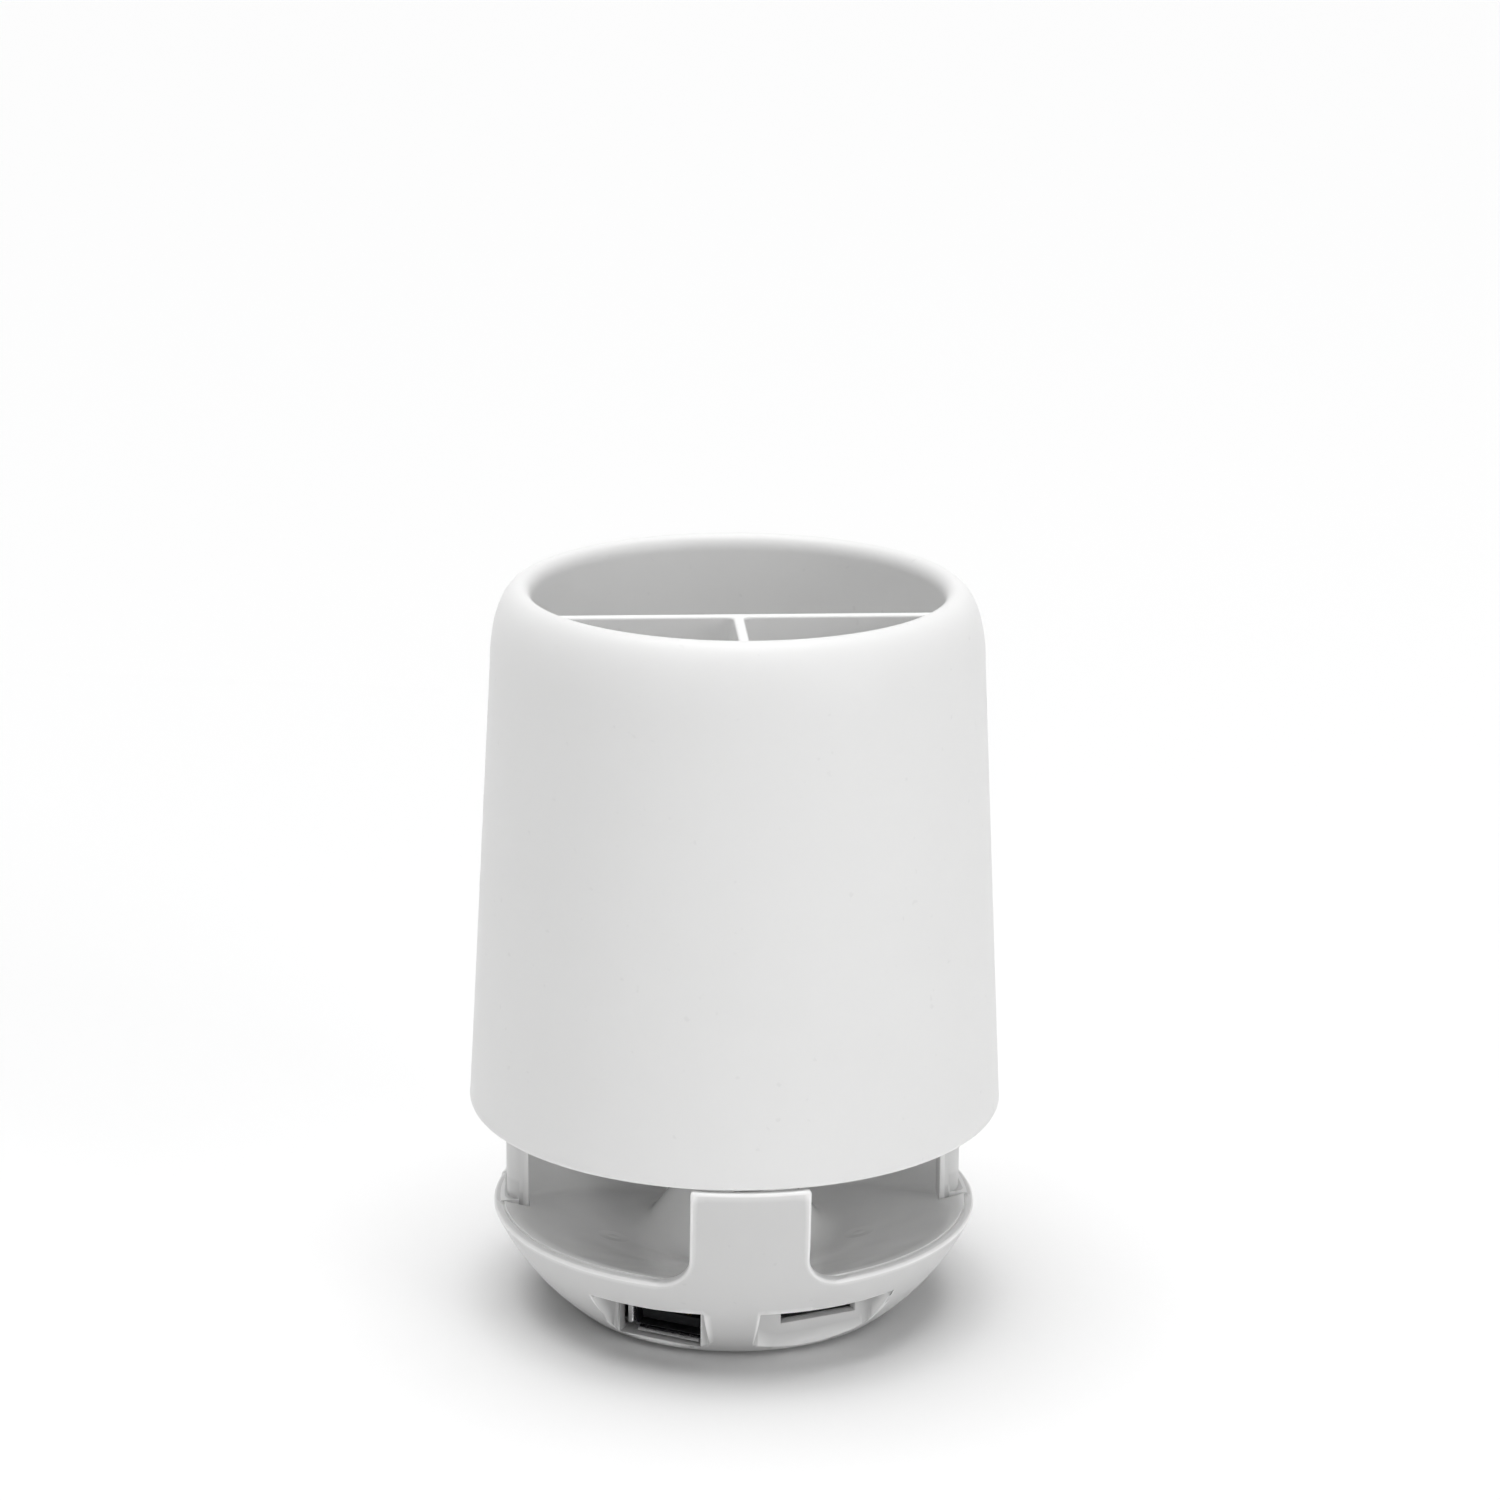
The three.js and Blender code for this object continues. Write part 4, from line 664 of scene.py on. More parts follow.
def inner_ball():
    """A ball in the middle of the wall, which trims what is joined on from inside."""
    turns = spread(math.radians(-52), math.radians(-0.8), 26)
    outline = [(TRIM_R * math.cos(a), BALL_Z + TRIM_R * math.sin(a)) for a in turns]
    return turned("inner_ball", [(0, outline[0][1]), *outline, (0, outline[-1][1])], 96)


def back_up(backing):
    carve(backing, inner_ball(), "INTERSECT")
    carve(housing, backing, "UNION")


for recess in recesses:
    back_up(prism("backing", recess_outline(*recess, BACKING), 1.45, BROW_Z + 1.2))
for recess in recesses:
    carve(housing, prism("recess", recess_outline(*recess), -1, BROW_Z))

back_up(block("plate", (-20.5, 38.2, 9.0), (20.5, 46.4, 34.8)))
panel_plan = [(-17.8, 40), (17.8, 40), (20.9, 47.4), (-20.9, 47.4)]
carve(housing, prism("panel", panel_plan, -1, 33.0))
print("housing faces after the recesses:", len(housing.data.polygons))

# %% Cut the openings for sockets and buttons
BUTTON_Z, ROW_Z = 27.5, 20.7
BUTTON_X = (-13.35, -4.45, 4.45, 13.35)
USB_HOLE = ((-7.24, 7.77), (2.3, 8.8))
CARD_HOLE = ((-4.4, 9.2), (6.15, 8.7))


def turned_block(turn, across, out, heights):
    corners = [(across[0], out[0]), (across[1], out[0]), (across[1], out[1]), (across[0], out[1])]
    return prism("tool", [turned_point(turn, a, o) for a, o in corners], *heights)


def hole_along_y(x, z, radius, vertices=48):
    deselect()
    bpy.ops.mesh.primitive_cylinder_add(
        vertices=vertices, radius=radius, depth=6, location=(x, 39, z), rotation=(QUARTER, 0, 0)
    )
    apply_place()
    return bpy.context.object


carve(housing, turned_block(USB_TURN, USB_HOLE[0], (23.0, 31.0), USB_HOLE[1]))
carve(housing, turned_block(USB_TURN, (-5.8, 7.9), (14.7, 27.15), (2.75, BROW_Z)))
carve(housing, turned_block(CARD_TURN, CARD_HOLE[0], (23.0, 31.0), CARD_HOLE[1]))
for x in BUTTON_X:
    carve(housing, hole_along_y(x, BUTTON_Z, 3.7))
carve(housing, hole_along_y(0, ROW_Z, 1.1, 24))
for (x0, x1), (z0, z1) in (((4.3, 9.7), (19.4, 22.0)), ((-11.0, -3.0), (19.2, 22.2))):
    slot = block("slot", (x0, 36, z0), (x1, 42, z1))
    bevel_where(slot, lambda m: abs(m.y - 39) < 0.1, 0.6, segments=4, angle=30)
    carve(housing, slot)
print("housing faces after the openings:", len(housing.data.polygons))

# %% Round the mouths of the recesses, the openings and the creases
PANEL_Y = 40


def in_turned_frame(point, turn):
    """A point's places across and out, in the frame of a recess."""
    angle = math.radians(turn)
    across = point.x * math.cos(angle) + point.y * math.sin(angle)
    return across, point.x * math.sin(angle) - point.y * math.cos(angle)


def near_recess(m):
    """True on the mouth and walls of the two socket recesses and the panel, and nowhere else."""
    if m.z < 3.4 or m.z > 33.2:
        return False
    if m.y > PANEL_Y - 0.5:
        return abs(m.x) < 21.5 and m.z > 22.5
    for turn, (left, right), _ in recesses:
        across, out = in_turned_frame(m, turn)
        if out > WALL_OUT - 0.1 and left - 6 < across < right + 4 and m.z < BROW_Z + 0.1:
            return True
    return False


def near_holes(m):
    """True on the edges of the openings, on their outer side."""
    if abs(m.y - PANEL_Y) < 0.02 and abs(m.x) < 17.5 and 18.5 < m.z < 31.5:
        return True
    for turn, ((left, right), (low, high)) in ((USB_TURN, USB_HOLE), (CARD_TURN, CARD_HOLE)):
        across, out = in_turned_frame(m, turn)
        beside = left - 0.02 < across < right + 0.02 and low - 0.1 < m.z < high + 0.1
        if abs(out - WALL_OUT) < 0.02 and beside:
            return True
    return False


def on_crease(m):
    return abs(abs(m.x) - CHEEK_X) < 0.03 and m.y > 15.4 and m.z > RIM_Z


print("edges rounded round the recesses:", bevel_where(housing, near_recess, 0.22, 2, 32))
print("edges rounded round the openings:", bevel_where(housing, near_holes, 0.2, 2, 50))
print("creases rounded:", bevel_where(housing, on_crease, 0.35, 3, 30))
tidy(housing, threshold=0.0005)
finish_piece(housing, "base_housing", slot="housing")

# %% [markdown]
# ## The horn deck
# Under the driver lies a glossy dish with a diffuser cone in the middle, closed behind by a
# curved wall. Driver and dish make a radial horn that opens at the two windows. The real part is
# one moulding with a fillet along the foot of the wall, so its mesh lines run out from the cone's
# tip, over the dish and up the wall. A spun dish with a separate wall would leave a hard joint.

# %% Measure the dish and the cone
DECK_R, DECK_EDGE_Z, DISH_Z = 39.48, 18.2, 11.95
CONE_R, FILLET_OUT, FILLET_IN = 16, 2.6, 1.82
CONE_FILLET_R, FLANK_R = CONE_R + FILLET_OUT, CONE_R - FILLET_IN
FLANK_END_Z = 14.265
CONE_TOP, TIP_R = 31.65, 2.4
TIP_END = (2.046, CONE_TOP - TIP_R + 1.254)
DECK_SLOPE = (DECK_EDGE_Z - DISH_Z) / (39.33 - CONE_R)
CONE_SLOPE = (19.7 - TIP_R) / (CONE_R - TIP_R)


def deck_height(r):
    """Height of the deck's upper face at a distance from the axis."""
    if r >= CONE_FILLET_R:
        return DECK_EDGE_Z - (DECK_R - r) * DECK_SLOPE
    if r >= FLANK_R:
        bend = FILLET_OUT - FILLET_IN
        s = (FILLET_OUT - math.sqrt(max(0, FILLET_OUT**2 - bend * (CONE_FILLET_R - r)))) / bend
        foot_z = DECK_EDGE_Z - (DECK_R - CONE_FILLET_R) * DECK_SLOPE
        flank_z = DISH_Z + CONE_SLOPE * FILLET_IN
        return (1 - s) ** 2 * foot_z + 2 * s * (1 - s) * DISH_Z + s * s * flank_z
    return TIP_END[1] - (r - TIP_END[0]) * (TIP_END[1] - FLANK_END_Z) / (FLANK_R - TIP_END[0])


tip_turns = spread(QUARTER, 0.55, 8)[1:]
tip_z = CONE_TOP - TIP_R
cone_tip = [(TIP_R * math.cos(a), tip_z + TIP_R * math.sin(a)) for a in tip_turns]
cone_flank = [(r, deck_height(r)) for r in spread(TIP_END[0], FLANK_R, 9)[1:]]
print("deck heights:", [round(deck_height(r), 2) for r in (5, FLANK_R, CONE_R, 25, DECK_R)])

# %% Lay out the deck in polar columns
WALL_CENTRE_Y, WALL_FRONT_R, WALL_TOP = -31.2, 48.1, 35.9
FOOT_FILLET = 1.4
SEAM_ANGLE = math.radians(86.4)


def wall_distance(angle):
    """Distance from the axis to the curved wall, along a line at an angle from the front."""
    along = -WALL_CENTRE_Y * math.cos(angle)
    return along + math.sqrt(along**2 - WALL_CENTRE_Y**2 + WALL_FRONT_R**2)


def deck_column(angle, rear):
    """One mesh line, from the cone's tip out to the deck's edge, or on up the rear wall."""
    end = wall_distance(angle) - FOOT_FILLET if rear else 37.1
    line = [(0.02, CONE_TOP), *cone_tip, *cone_flank]
    for share in [(i / 20) ** 1.5 for i in range(1, 21)]:
        r = FLANK_R + (end - FLANK_R) * share
        line.append((r, deck_height(r)))
    if rear:
        wall_r, wall_foot = end + FOOT_FILLET, deck_height(end + FOOT_FILLET)
        above = wall_foot + FOOT_FILLET
        line += bezier(line[-1], (wall_r, wall_foot), (wall_r, above), 5)[1:]
        line += [(wall_r, z) for z in spread(above, WALL_TOP, 8)[1:]]
    else:
        line.append((DECK_R, deck_height(DECK_R)))
    return around_axis(line, angle)


front_part = [deck_column(a, False) for a in spread(-SEAM_ANGLE, SEAM_ANGLE, 76)]
rear_part = [deck_column(a, True) for a in spread(SEAM_ANGLE, FULL - SEAM_ANGLE, 84)]
sheets = [laid("deck_front", list(zip(*front_part))), laid("deck_rear", list(zip(*rear_part)))]
deck = join(sheets, "horn_deck_shell")
tidy(deck, threshold=0.03)
near_axis = [face for face in deck.data.polygons if face.center.xy.length < 3]
tip_face = max(near_axis, key=lambda face: face.center.z)
flip_if(deck, tip_face.normal.z < 0)
print("deck sheet faces:", len(deck.data.polygons))

# %% Thicken the deck, notch it for the posts and round its edges
DECK_WALL = 1.5
NOTCH_X = 35.05

thicken(deck, DECK_WALL)
for x0, x1 in ((-60, -NOTCH_X), (NOTCH_X, 60)):
    carve(deck, block("notch", (x0, -2.5, 0), (x1, 40, 60)))
bevel_where(deck, lambda m: m.z > WALL_TOP - 0.1, 0.3, 3, 50)
bevel_where(deck, lambda m: m.z > 17 and m.xy.length > DECK_R - 0.05, 0.12, 2, 50)
finish_piece(deck, "horn_deck", slot="deck", smooth=40)

# %% [markdown]
# ## The sockets in front
# The left recess holds a socket for a USB plug: a folded steel shell with flared lips and
# springs, and a black tongue with four gold contacts. Behind the slot in the right recess lies a
# memory card socket. Both are modelled facing the front, and are then turned to their places. A
# box with a hole would be near enough from afar, but the bent lips and springs catch the light at
# the mouth.

# %% Helpers for folded sheet metal
def rounded_outline(x0, x1, z0, z1, radius, steps=3):
    """A rectangle with round corners, seen from the front."""
    corners = ((x1 - radius, z1 - radius), (x1 - radius, z0 + radius))
    corners += ((x0 + radius, z0 + radius), (x0 + radius, z1 - radius))
    points = []
    for centre, start in zip(corners, (90, 0, -90, 180)):
        points += arc(centre, (radius, radius), start, start - 90, steps)
    return points


def sleeve(name, stations):
    """A folded shell: outlines at several depths, from the outside round to the inside."""
    rows = [[(x, y, z) for x, z in [*points, points[0]]] for y, points in stations]
    piece = laid(name, [*rows, rows[0]])
    tidy(piece, threshold=0.0005)
    return piece


def shell_of(name, box, front, back, radius, wall, lip):
    """A socket's shell with a mouth that is bent outwards, from the front to the back."""
    x0, x1, z0, z1 = box
    stations = (
        (front, lip),
        (front + 0.35, lip * 0.75),
        (front + 1.1, 0),
        (back, 0),
        (back, -wall),
        (front + 1.1, -wall),
        (front + 0.35, lip * 0.75 - wall),
        (front, lip - wall),
    )
    outlines = []
    for y, grow in stations:
        corner = max(radius + grow, 0.1)
        outlines.append((y, rounded_outline(x0 - grow, x1 + grow, z0 - grow, z1 + grow, corner)))
    return sleeve(name, outlines)


def bent_strip(middle, width, path, gauge, upright=False):
    """A strip of sheet metal along a path of depth and height, or of depth and side if upright."""
    across = [middle + side * width / 2 for side in (-1, 0, 1)]
    if upright:
        rows = [[(x, y, z) for z in across] for y, x in path]
    else:
        rows = [[(x, y, z) for x in across] for y, z in path]
    piece = laid("strip", rows)
    thicken(piece, gauge, offset=0)
    tidy(piece, 0.0005)
    return piece


# %% Helpers for soft blocks and turned sockets
def round_edges(piece, width, segments=3, angle=35):
    """A bevel modifier on every edge that is sharper than an angle."""
    modifier = piece.modifiers.new("round", "BEVEL")
    modifier.width = width
    modifier.segments = segments
    modifier.limit_method = "ANGLE"
    modifier.angle_limit = math.radians(angle)
    modifier.use_clamp_overlap = False
    modifier.loop_slide = False
    modifier.miter_outer = "MITER_ARC"
    apply_modifiers(piece)


def soft_block(low, high, width, segments=2):
    piece = block("block", low, high)
    round_edges(piece, width, segments, 40)
    return piece


def turn_to(piece, turn):
    pick(piece)
    piece.rotation_euler.z = math.radians(turn)
    apply_place()
    return piece


# %% Model the USB socket's shell
shell = shell_of("shell", (-5.5, 7.6, 3.05, 8.75), -26.6, -15.0, 0.5, 0.3, 0.0)
below = [(-26.4, 3.2), (-27.1, 3.16), (-27.6, 2.98), (-28.0, 2.66)]
beside = [(-26.4, -5.35), (-27.1, -5.42), (-27.6, -5.7), (-28.0, -6.1)]
lips = [bent_strip(1.3, 11.4, below, 0.3), bent_strip(6.0, 4.4, beside, 0.3, upright=True)]
usb_lips = turn_to(join(lips, "usb_lips"), USB_TURN)
finish_piece(usb_lips, slot="steel")
spring_path = [(-21.5, 8.48), (-23.0, 8.23), (-24.6, 7.93), (-25.6, 8.06), (-26.2, 8.38)]
springs = [bent_strip(x, 2.1, spring_path, 0.2) for x in (-1.9, 4.0)]
usb_shell = turn_to(join([shell, *springs], "usb_shell"), USB_TURN)
finish_piece(usb_shell, "usb_socket_shell", slot="steel")

# %% Model the USB socket's tongue and contacts
tongue = soft_block((-4.35, -26.4, 4.4), (6.45, -16.0, 6.2), 0.3)
root = soft_block((-5.1, -18.8, 3.46), (7.2, -15.4, 8.34), 0.2)
usb_tongue = turn_to(join([tongue, root], "usb_tongue"), USB_TURN)
finish_piece(usb_tongue, "usb_socket_tongue", slot="black_plastic")
contact_path = [(-18.9, 6.25), (-24.6, 6.25), (-25.3, 6.37), (-25.9, 6.27)]
contact = bent_strip(-2.45, 1.0, contact_path, 0.12)
contacts = [contact] + [copy_of(contact, "contact", (x, 0, 0)) for x in (2.0, 4.0, 6.5)]
usb_contacts = turn_to(join(contacts, "usb_contacts"), USB_TURN)
finish_piece(usb_contacts, slot="copper")

# %% Model the card socket
card_shell = shell_of("card_shell", (-4.7, 9.5, 6.05, 8.75), -26.3, -14.9, 0.3, 0.25, 0.06)
turn_to(card_shell, CARD_TURN)
finish_piece(card_shell, "card_socket_shell", slot="steel")
tray = soft_block((-4.35, -26.95, 6.35), (9.15, -15.25, 7.2), 0.15)
rails = [soft_block((x, -25.9, 7.15), (x + 0.7, -15.3, 8.1), 0.12) for x in (-4.3, 8.4)]
card_tray = turn_to(join([tray, *rails], "card_tray"), CARD_TURN)
finish_piece(card_tray, "card_socket_tray", slot="black_plastic")

# %% [markdown]
# ## The push-buttons
# The photograph doesn't show the back, so its controls follow what such a lamp and speaker needs:
# four push-buttons with moulded signs, a power slider, a charging inlet and a status light. A cap
# is turned once about the upright axis and copied, its sign is cut in, and it is laid over to
# face the back. Each cap rides on its own body, so that it moves when it is pressed.

# %% Turn one cap
CAP_R = 3.5
CAP_EDGE = 0.32

cap_profile = [
    (0, 36.8),
    (1.5, 36.8),
    (1.5, 37.2),
    (4.2, 37.2),
    (4.2, 38.1),
    (CAP_R, 38.1),
    *arc((CAP_R - CAP_EDGE, 40.47), (CAP_EDGE, CAP_EDGE), 0, 75, 4),
    *[(CAP_R * s, 41.0 - 0.22 * s * s) for s in (0.9, 0.7, 0.5, 0.3, 0.12)],
    (0, 41.0),
]
plain_cap = turned("plain_cap", cap_profile, 64)
print("cap faces:", len(plain_cap.data.polygons))

# %% Cut the signs into copies of the cap
BUTTONS = ("previous", "play", "next", "lamp")
SIGN_FLOOR = 40.7


def sign(shape):
    """Outlines of a moulded sign, for a viewer behind the object, whose left is at +x."""
    arrow = [(0.8, -1.0), (-0.9, 0), (0.8, 1.0)]
    if shape == "play":
        return [arrow]
    if shape == "next":
        bar = [(-0.75, -1), (-1.1, -1), (-1.1, 1), (-0.75, 1)]
        return [[(x + 0.35, y) for x, y in arrow], bar]
    if shape == "previous":
        return [[(-x, y) for x, y in outline] for outline in sign("next")]
    bulb = arc((0, 0.35), (0.95, 0.95), -55, 235, 14)
    return [[(x, -y) for x, y in bulb], [(-0.5, 0.7), (0.5, 0.7), (0.5, 1.15), (-0.5, 1.15)]]


def face_back(piece, x, z):
    """Lays a piece over from upright to facing the back, and moves it to its place."""
    pick(piece)
    piece.rotation_euler = (-QUARTER, 0, 0)
    piece.location = (x, 0, z)
    apply_place()
    return piece


def drop_slivers(piece):
    """Dissolves the faces without area that a cut or a bevel can leave."""
    open_edit(piece)
    bpy.ops.mesh.dissolve_degenerate(threshold=0.002)
    close_edit()


caps = []
for name, x in zip(BUTTONS, reversed(BUTTON_X)):
    cap = copy_of(plain_cap, "cap_" + name)
    for outline in sign(name):
        carve(cap, prism("sign", outline, SIGN_FLOOR, 42))
    drop_slivers(cap)
    caps.append(face_back(cap, x, BUTTON_Z))
    finish_piece(cap, "button_" + name, body="button_" + name, slot="button", smooth=25)
bpy.data.objects.remove(plain_cap)

# %% [markdown]
# ## Slider, inlet and status light
# The slider is a ribbed knob in front of a skirt that covers its slot, with a lever to the
# switch. The charging inlet is a folded steel shell round a flat tongue, and the status light is
# a clear pipe with a domed end.

# %% Model the slider
knob = soft_block((4.5, 37.0, 19.6), (7.5, 40.85, 21.8), 0.3, 3)
knob.name = "slider_knob"
for x in (5.25, 5.75, 6.25, 6.75):
    carve(knob, soft_block((x - 0.11, 40.2, 19.9), (x + 0.11, 41.1, 21.5), 0.08), "UNION")
carve(knob, soft_block((2.2, 37.3, 18.9), (9.8, 38.0, 22.5), 0.15), "UNION")
carve(knob, soft_block((5.3, 35.55, 20.0), (6.7, 37.5, 21.4), 0.15), "UNION")
drop_slivers(knob)
finish_piece(knob, "power_slider", body="power_slider", slot="button")

# %% Model the inlet
inlet_plan = [(-3.8, 1.3), (3.8, 1.3), (3.8, -0.25), (2.85, -1.3), (-2.85, -1.3), (-3.8, -0.25)]
inlet_rings = ((39.1, 0), (38.6, -0.06), (32.0, -0.06), (32.0, -0.3), (38.6, -0.3), (39.1, -0.22))
inlet_stations = []
for y, grow in inlet_rings:
    reach = 1 + grow / 3.8
    outline = [(-7 + x * reach, ROW_Z + z * (1 + grow / 1.3)) for x, z in inlet_plan]
    inlet_stations.append((y, outline))
inlet_parts = [
    sleeve("inlet_shell", inlet_stations),
    soft_block((-8.9, 32.2, 20.45), (-5.1, 37.9, 20.95), 0.12),
    soft_block((-10.4, 32.1, 19.75), (-3.6, 33.6, 21.65), 0.1),
]
charge_inlet = join(inlet_parts, "charge_inlet")
finish_piece(charge_inlet, "charge_socket", slot="steel")

# %% Turn the light pipe
pipe_profile = [
    (0, 32.6),
    (1.0, 32.6),
    (1.0, 37.0),
    (1.8, 37.0),
    (1.8, 38.05),
    (1.0, 38.05),
    *arc((0, 39.55), (1.0, 0.35), 0, 78, 5),
    (0, 39.9),
]
light_pipe = face_back(turned("light_pipe", pipe_profile, 32), 0, ROW_Z)
finish_piece(light_pipe, "status_light_pipe", slot="lamp")

# %% [markdown]
# ## The underside
# A flat cover closes the base, with a rubber ring for a foot and three cross-recess screws. Cover
# and foot are turned, with the groove that the ring sits in, and the cover is drilled for the
# screws.

# %% Turn the cover and the foot
SCREWS = [turned_point(turn, 0, 24.0) for turn in (105, 255, 358)]
cover_profile = [
    (0, 1.9),
    (25.4, 1.9),
    (25.4, 1.1),
    *arc((25.1, 1.1), (0.3, 0.3), 0, -90, 3),
    (21.55, 0.8),
    (21.5, 0.85),
    (21.5, 1.2),
    (17.5, 1.2),
    (17.5, 0.85),
    (17.45, 0.8),
    (12.4, 0.8),
    (12.3, 1.0),
    (11.9, 1.0),
    (11.8, 0.8),
    (0, 0.8),
]
cover = turned("bottom_cover", cover_profile, 120)
for x, y in SCREWS:
    carve(cover, peg(1.6, -0.4, 1.6, x, y))
finish_piece(cover, "base_cover", slot="housing")

foot_profile = [
    (17.6, 1.1),
    (17.6, 0.35),
    *arc((17.95, 0.35), (0.35, 0.35), 180, 270, 4),
    (18.9, 0.0),
    (19.0, 0.14),
    (20.0, 0.14),
    (20.1, 0.0),
    *arc((21.05, 0.35), (0.35, 0.35), 270, 360, 4),
    (21.4, 1.1),
    (17.6, 1.1),
]
foot = turned("foot_ring", foot_profile, 120)
finish_piece(foot, "rubber_foot", slot="rubber")

# %% Model one screw and copy it
THREAD = 0.5
HEAD_R, HEAD_LOW, HEAD_HIGH = 1.35, 0.85, 1.5
SHANK_R, SHANK_END = 0.88, 5.4
SLOT_REACH, SLOT_HALF = 0.85, 0.17

screw_profile = [(0, HEAD_LOW), (HEAD_R * 0.55, HEAD_LOW), (HEAD_R * 0.85, HEAD_LOW + 0.1)]
screw_profile += [(HEAD_R, HEAD_LOW + 0.35), (HEAD_R, HEAD_HIGH), (SHANK_R, HEAD_HIGH)]
z = HEAD_HIGH
while z + THREAD < SHANK_END:
    screw_profile += [(SHANK_R, z + 0.25), (SHANK_R * 0.8, z + 0.4), (SHANK_R, z + THREAD)]
    z += THREAD
screw_profile += [(SHANK_R * 0.3, SHANK_END), (0, SHANK_END)]
screw = turned("screw", screw_profile, 32)
for x, y in ((SLOT_REACH, SLOT_HALF), (SLOT_HALF, SLOT_REACH)):
    carve(screw, block("cross", (-x, -y, HEAD_LOW - 0.5), (x, y, HEAD_LOW + 0.42)))
bottom_screws = []
for i, (x, y) in enumerate(SCREWS):
    bottom_screws.append(copy_of(screw, f"bottom_screw_{i + 1}", (x, y, 0)))
    finish_piece(bottom_screws[-1], f"cover_screw_{i + 1}", slot="steel")
bpy.data.objects.remove(screw)

# %% [markdown]
# ## The baffle and the grille
# The baffle above the horn closes the cup and carries the driver, and the grille in its opening
# guards the cone. The grille is one moulding, so its hub, hoops and spokes are joined into one
# solid before its edges are rounded.

# %% Turn and drill the baffle
BAFFLE_SCREWS = ((0, -39.4), (-34.0, 18.5), (34.0, 18.5))
baffle_profile = [
    (16.6, 37.3),
    (17.6, 37.3),
    (17.6, 36.3),
    (17.8, 36.1),
    (42.2, 36.1),
    (42.55, 36.45),
    (42.55, 39.0),
    (32.75, 39.0),
    (32.75, 42.0),
    (31.15, 42.0),
    (31.15, 39.0),
    (16.6, 39.0),
    (16.6, 37.3),
]
baffle = turned("baffle_plate", baffle_profile)
for x, y in BAFFLE_SCREWS:
    carve(baffle, peg(1.1, 35, 40, x, y))
    carve(baffle, peg(2.4, 37.6, 40, x, y))
finish_piece(baffle, "speaker_baffle", slot="housing")

# %% Model the grille
SPOKE = ((-0.6, 1), (0.6, 1), (0.6, 16.8), (-0.6, 16.8))

hub_profile = [(0, 36.15), (2.8, 36.15), (3.2, 36.45), (3.2, 37.2), (0, 37.2)]
grille = turned("driver_grille", hub_profile, 48)
for outer in (17.3, 10.4):
    ring_profile = [(outer - 1.2, 36.1), (outer, 36.1), (outer, 37.2), (outer - 1.2, 37.2)]
    carve(grille, turned("hoop", [*ring_profile, ring_profile[0]], 96), "UNION")
for i in range(6):
    corners = [turned_point(60 * i, across, out) for across, out in SPOKE]
    carve(grille, prism("spoke", corners, 36.14, 37.16), "UNION")
drop_slivers(grille)
round_edges(grille, 0.12, 2, 50)
finish_piece(grille, "speaker_grille", slot="housing")

# %% [markdown]
# ## Floor and white surroundings
# The photograph has a pure white background, and only a soft shadow under the ball. The floor is
# a pale matte plane that is clear from below, so that the underside can be looked at. The room is
# plain white where the camera, a reflection or a clear part looks at it. Where it lights the
# object, it is brightest near the horizon in front and at the sides, and dark behind and
# overhead. A room of even strength would be simpler, but it leaves the shade and the shadow flat.

# %% Helpers for node trees
def new_material(name):
    look = bpy.data.materials.new(name)
    look.use_nodes = True
    look.node_tree.nodes.clear()
    return look, look.node_tree


def feed(tree, socket, value):
    """Links a socket to another one, or sets its value."""
    if isinstance(value, (int, float)):
        socket.default_value = value
    else:
        tree.links.new(value, socket)


def remap(tree, value, from_min, from_max, to_min, to_max):
    node = tree.nodes.new("ShaderNodeMapRange")
    ends = (("From Min", from_min), ("From Max", from_max), ("To Min", to_min), ("To Max", to_max))
    for label, end in ends:
        feed(tree, node.inputs[label], end)
    feed(tree, node.inputs["Value"], value)
    return node.outputs["Result"]


def maths(tree, operation, first, second):
    node = tree.nodes.new("ShaderNodeMath")
    node.operation = operation
    feed(tree, node.inputs[0], first)
    feed(tree, node.inputs[1], second)
    return node.outputs[0]


def mix_shaders(tree, factor, first, second, out):
    """Ends a tree in a mix of two shaders."""
    node = tree.nodes.new("ShaderNodeMixShader")
    for socket, source in zip(node.inputs, (factor, first, second)):
        tree.links.new(source, socket)
    tree.links.new(node.outputs["Shader"], tree.nodes.new(out).inputs["Surface"])


# %% Make the floor
deselect()
bpy.ops.mesh.primitive_plane_add(size=8)
floor = named("floor")
floor_look, tree = new_material("floor_white")
matte = tree.nodes.new("ShaderNodeBsdfDiffuse")
matte.inputs["Color"].default_value = (0.93, 0.93, 0.93, 1)
clear = tree.nodes.new("ShaderNodeBsdfTransparent")
below = tree.nodes.new("ShaderNodeNewGeometry").outputs["Backfacing"]
mix_shaders(tree, below, matte.outputs[0], clear.outputs[0], "ShaderNodeOutputMaterial")
floor.data.materials.append(floor_look)
print("floor:", [round(v, 1) for v in floor.dimensions], "m")

# %% Make the white surroundings
world = bpy.data.worlds.new("white_room")
bpy.context.scene.world = world
world.use_nodes = True
tree = world.node_tree
tree.nodes.clear()
way = tree.nodes.new("ShaderNodeSeparateXYZ")
tree.links.new(tree.nodes.new("ShaderNodeTexCoord").outputs["Generated"], way.inputs[0])
overhead = remap(tree, way.outputs["Z"], 0, 1, 0.8, 0.1)
behind = remap(tree, way.outputs["Y"], -0.8, 0.1, 1.0, 0.12)
beside = remap(tree, maths(tree, "ABSOLUTE", way.outputs["X"], 0), 0, 0.8, 0.36, 1.25)
room, white = (tree.nodes.new("ShaderNodeBackground") for _ in range(2))
for sky in (room, white):
    sky.inputs["Color"].default_value = (1, 1, 1, 1)
white.inputs["Strength"].default_value = 1
strength = maths(tree, "MULTIPLY", maths(tree, "MULTIPLY", overhead, behind), beside)
feed(tree, room.inputs["Strength"], strength)
rays = tree.nodes.new("ShaderNodeLightPath")
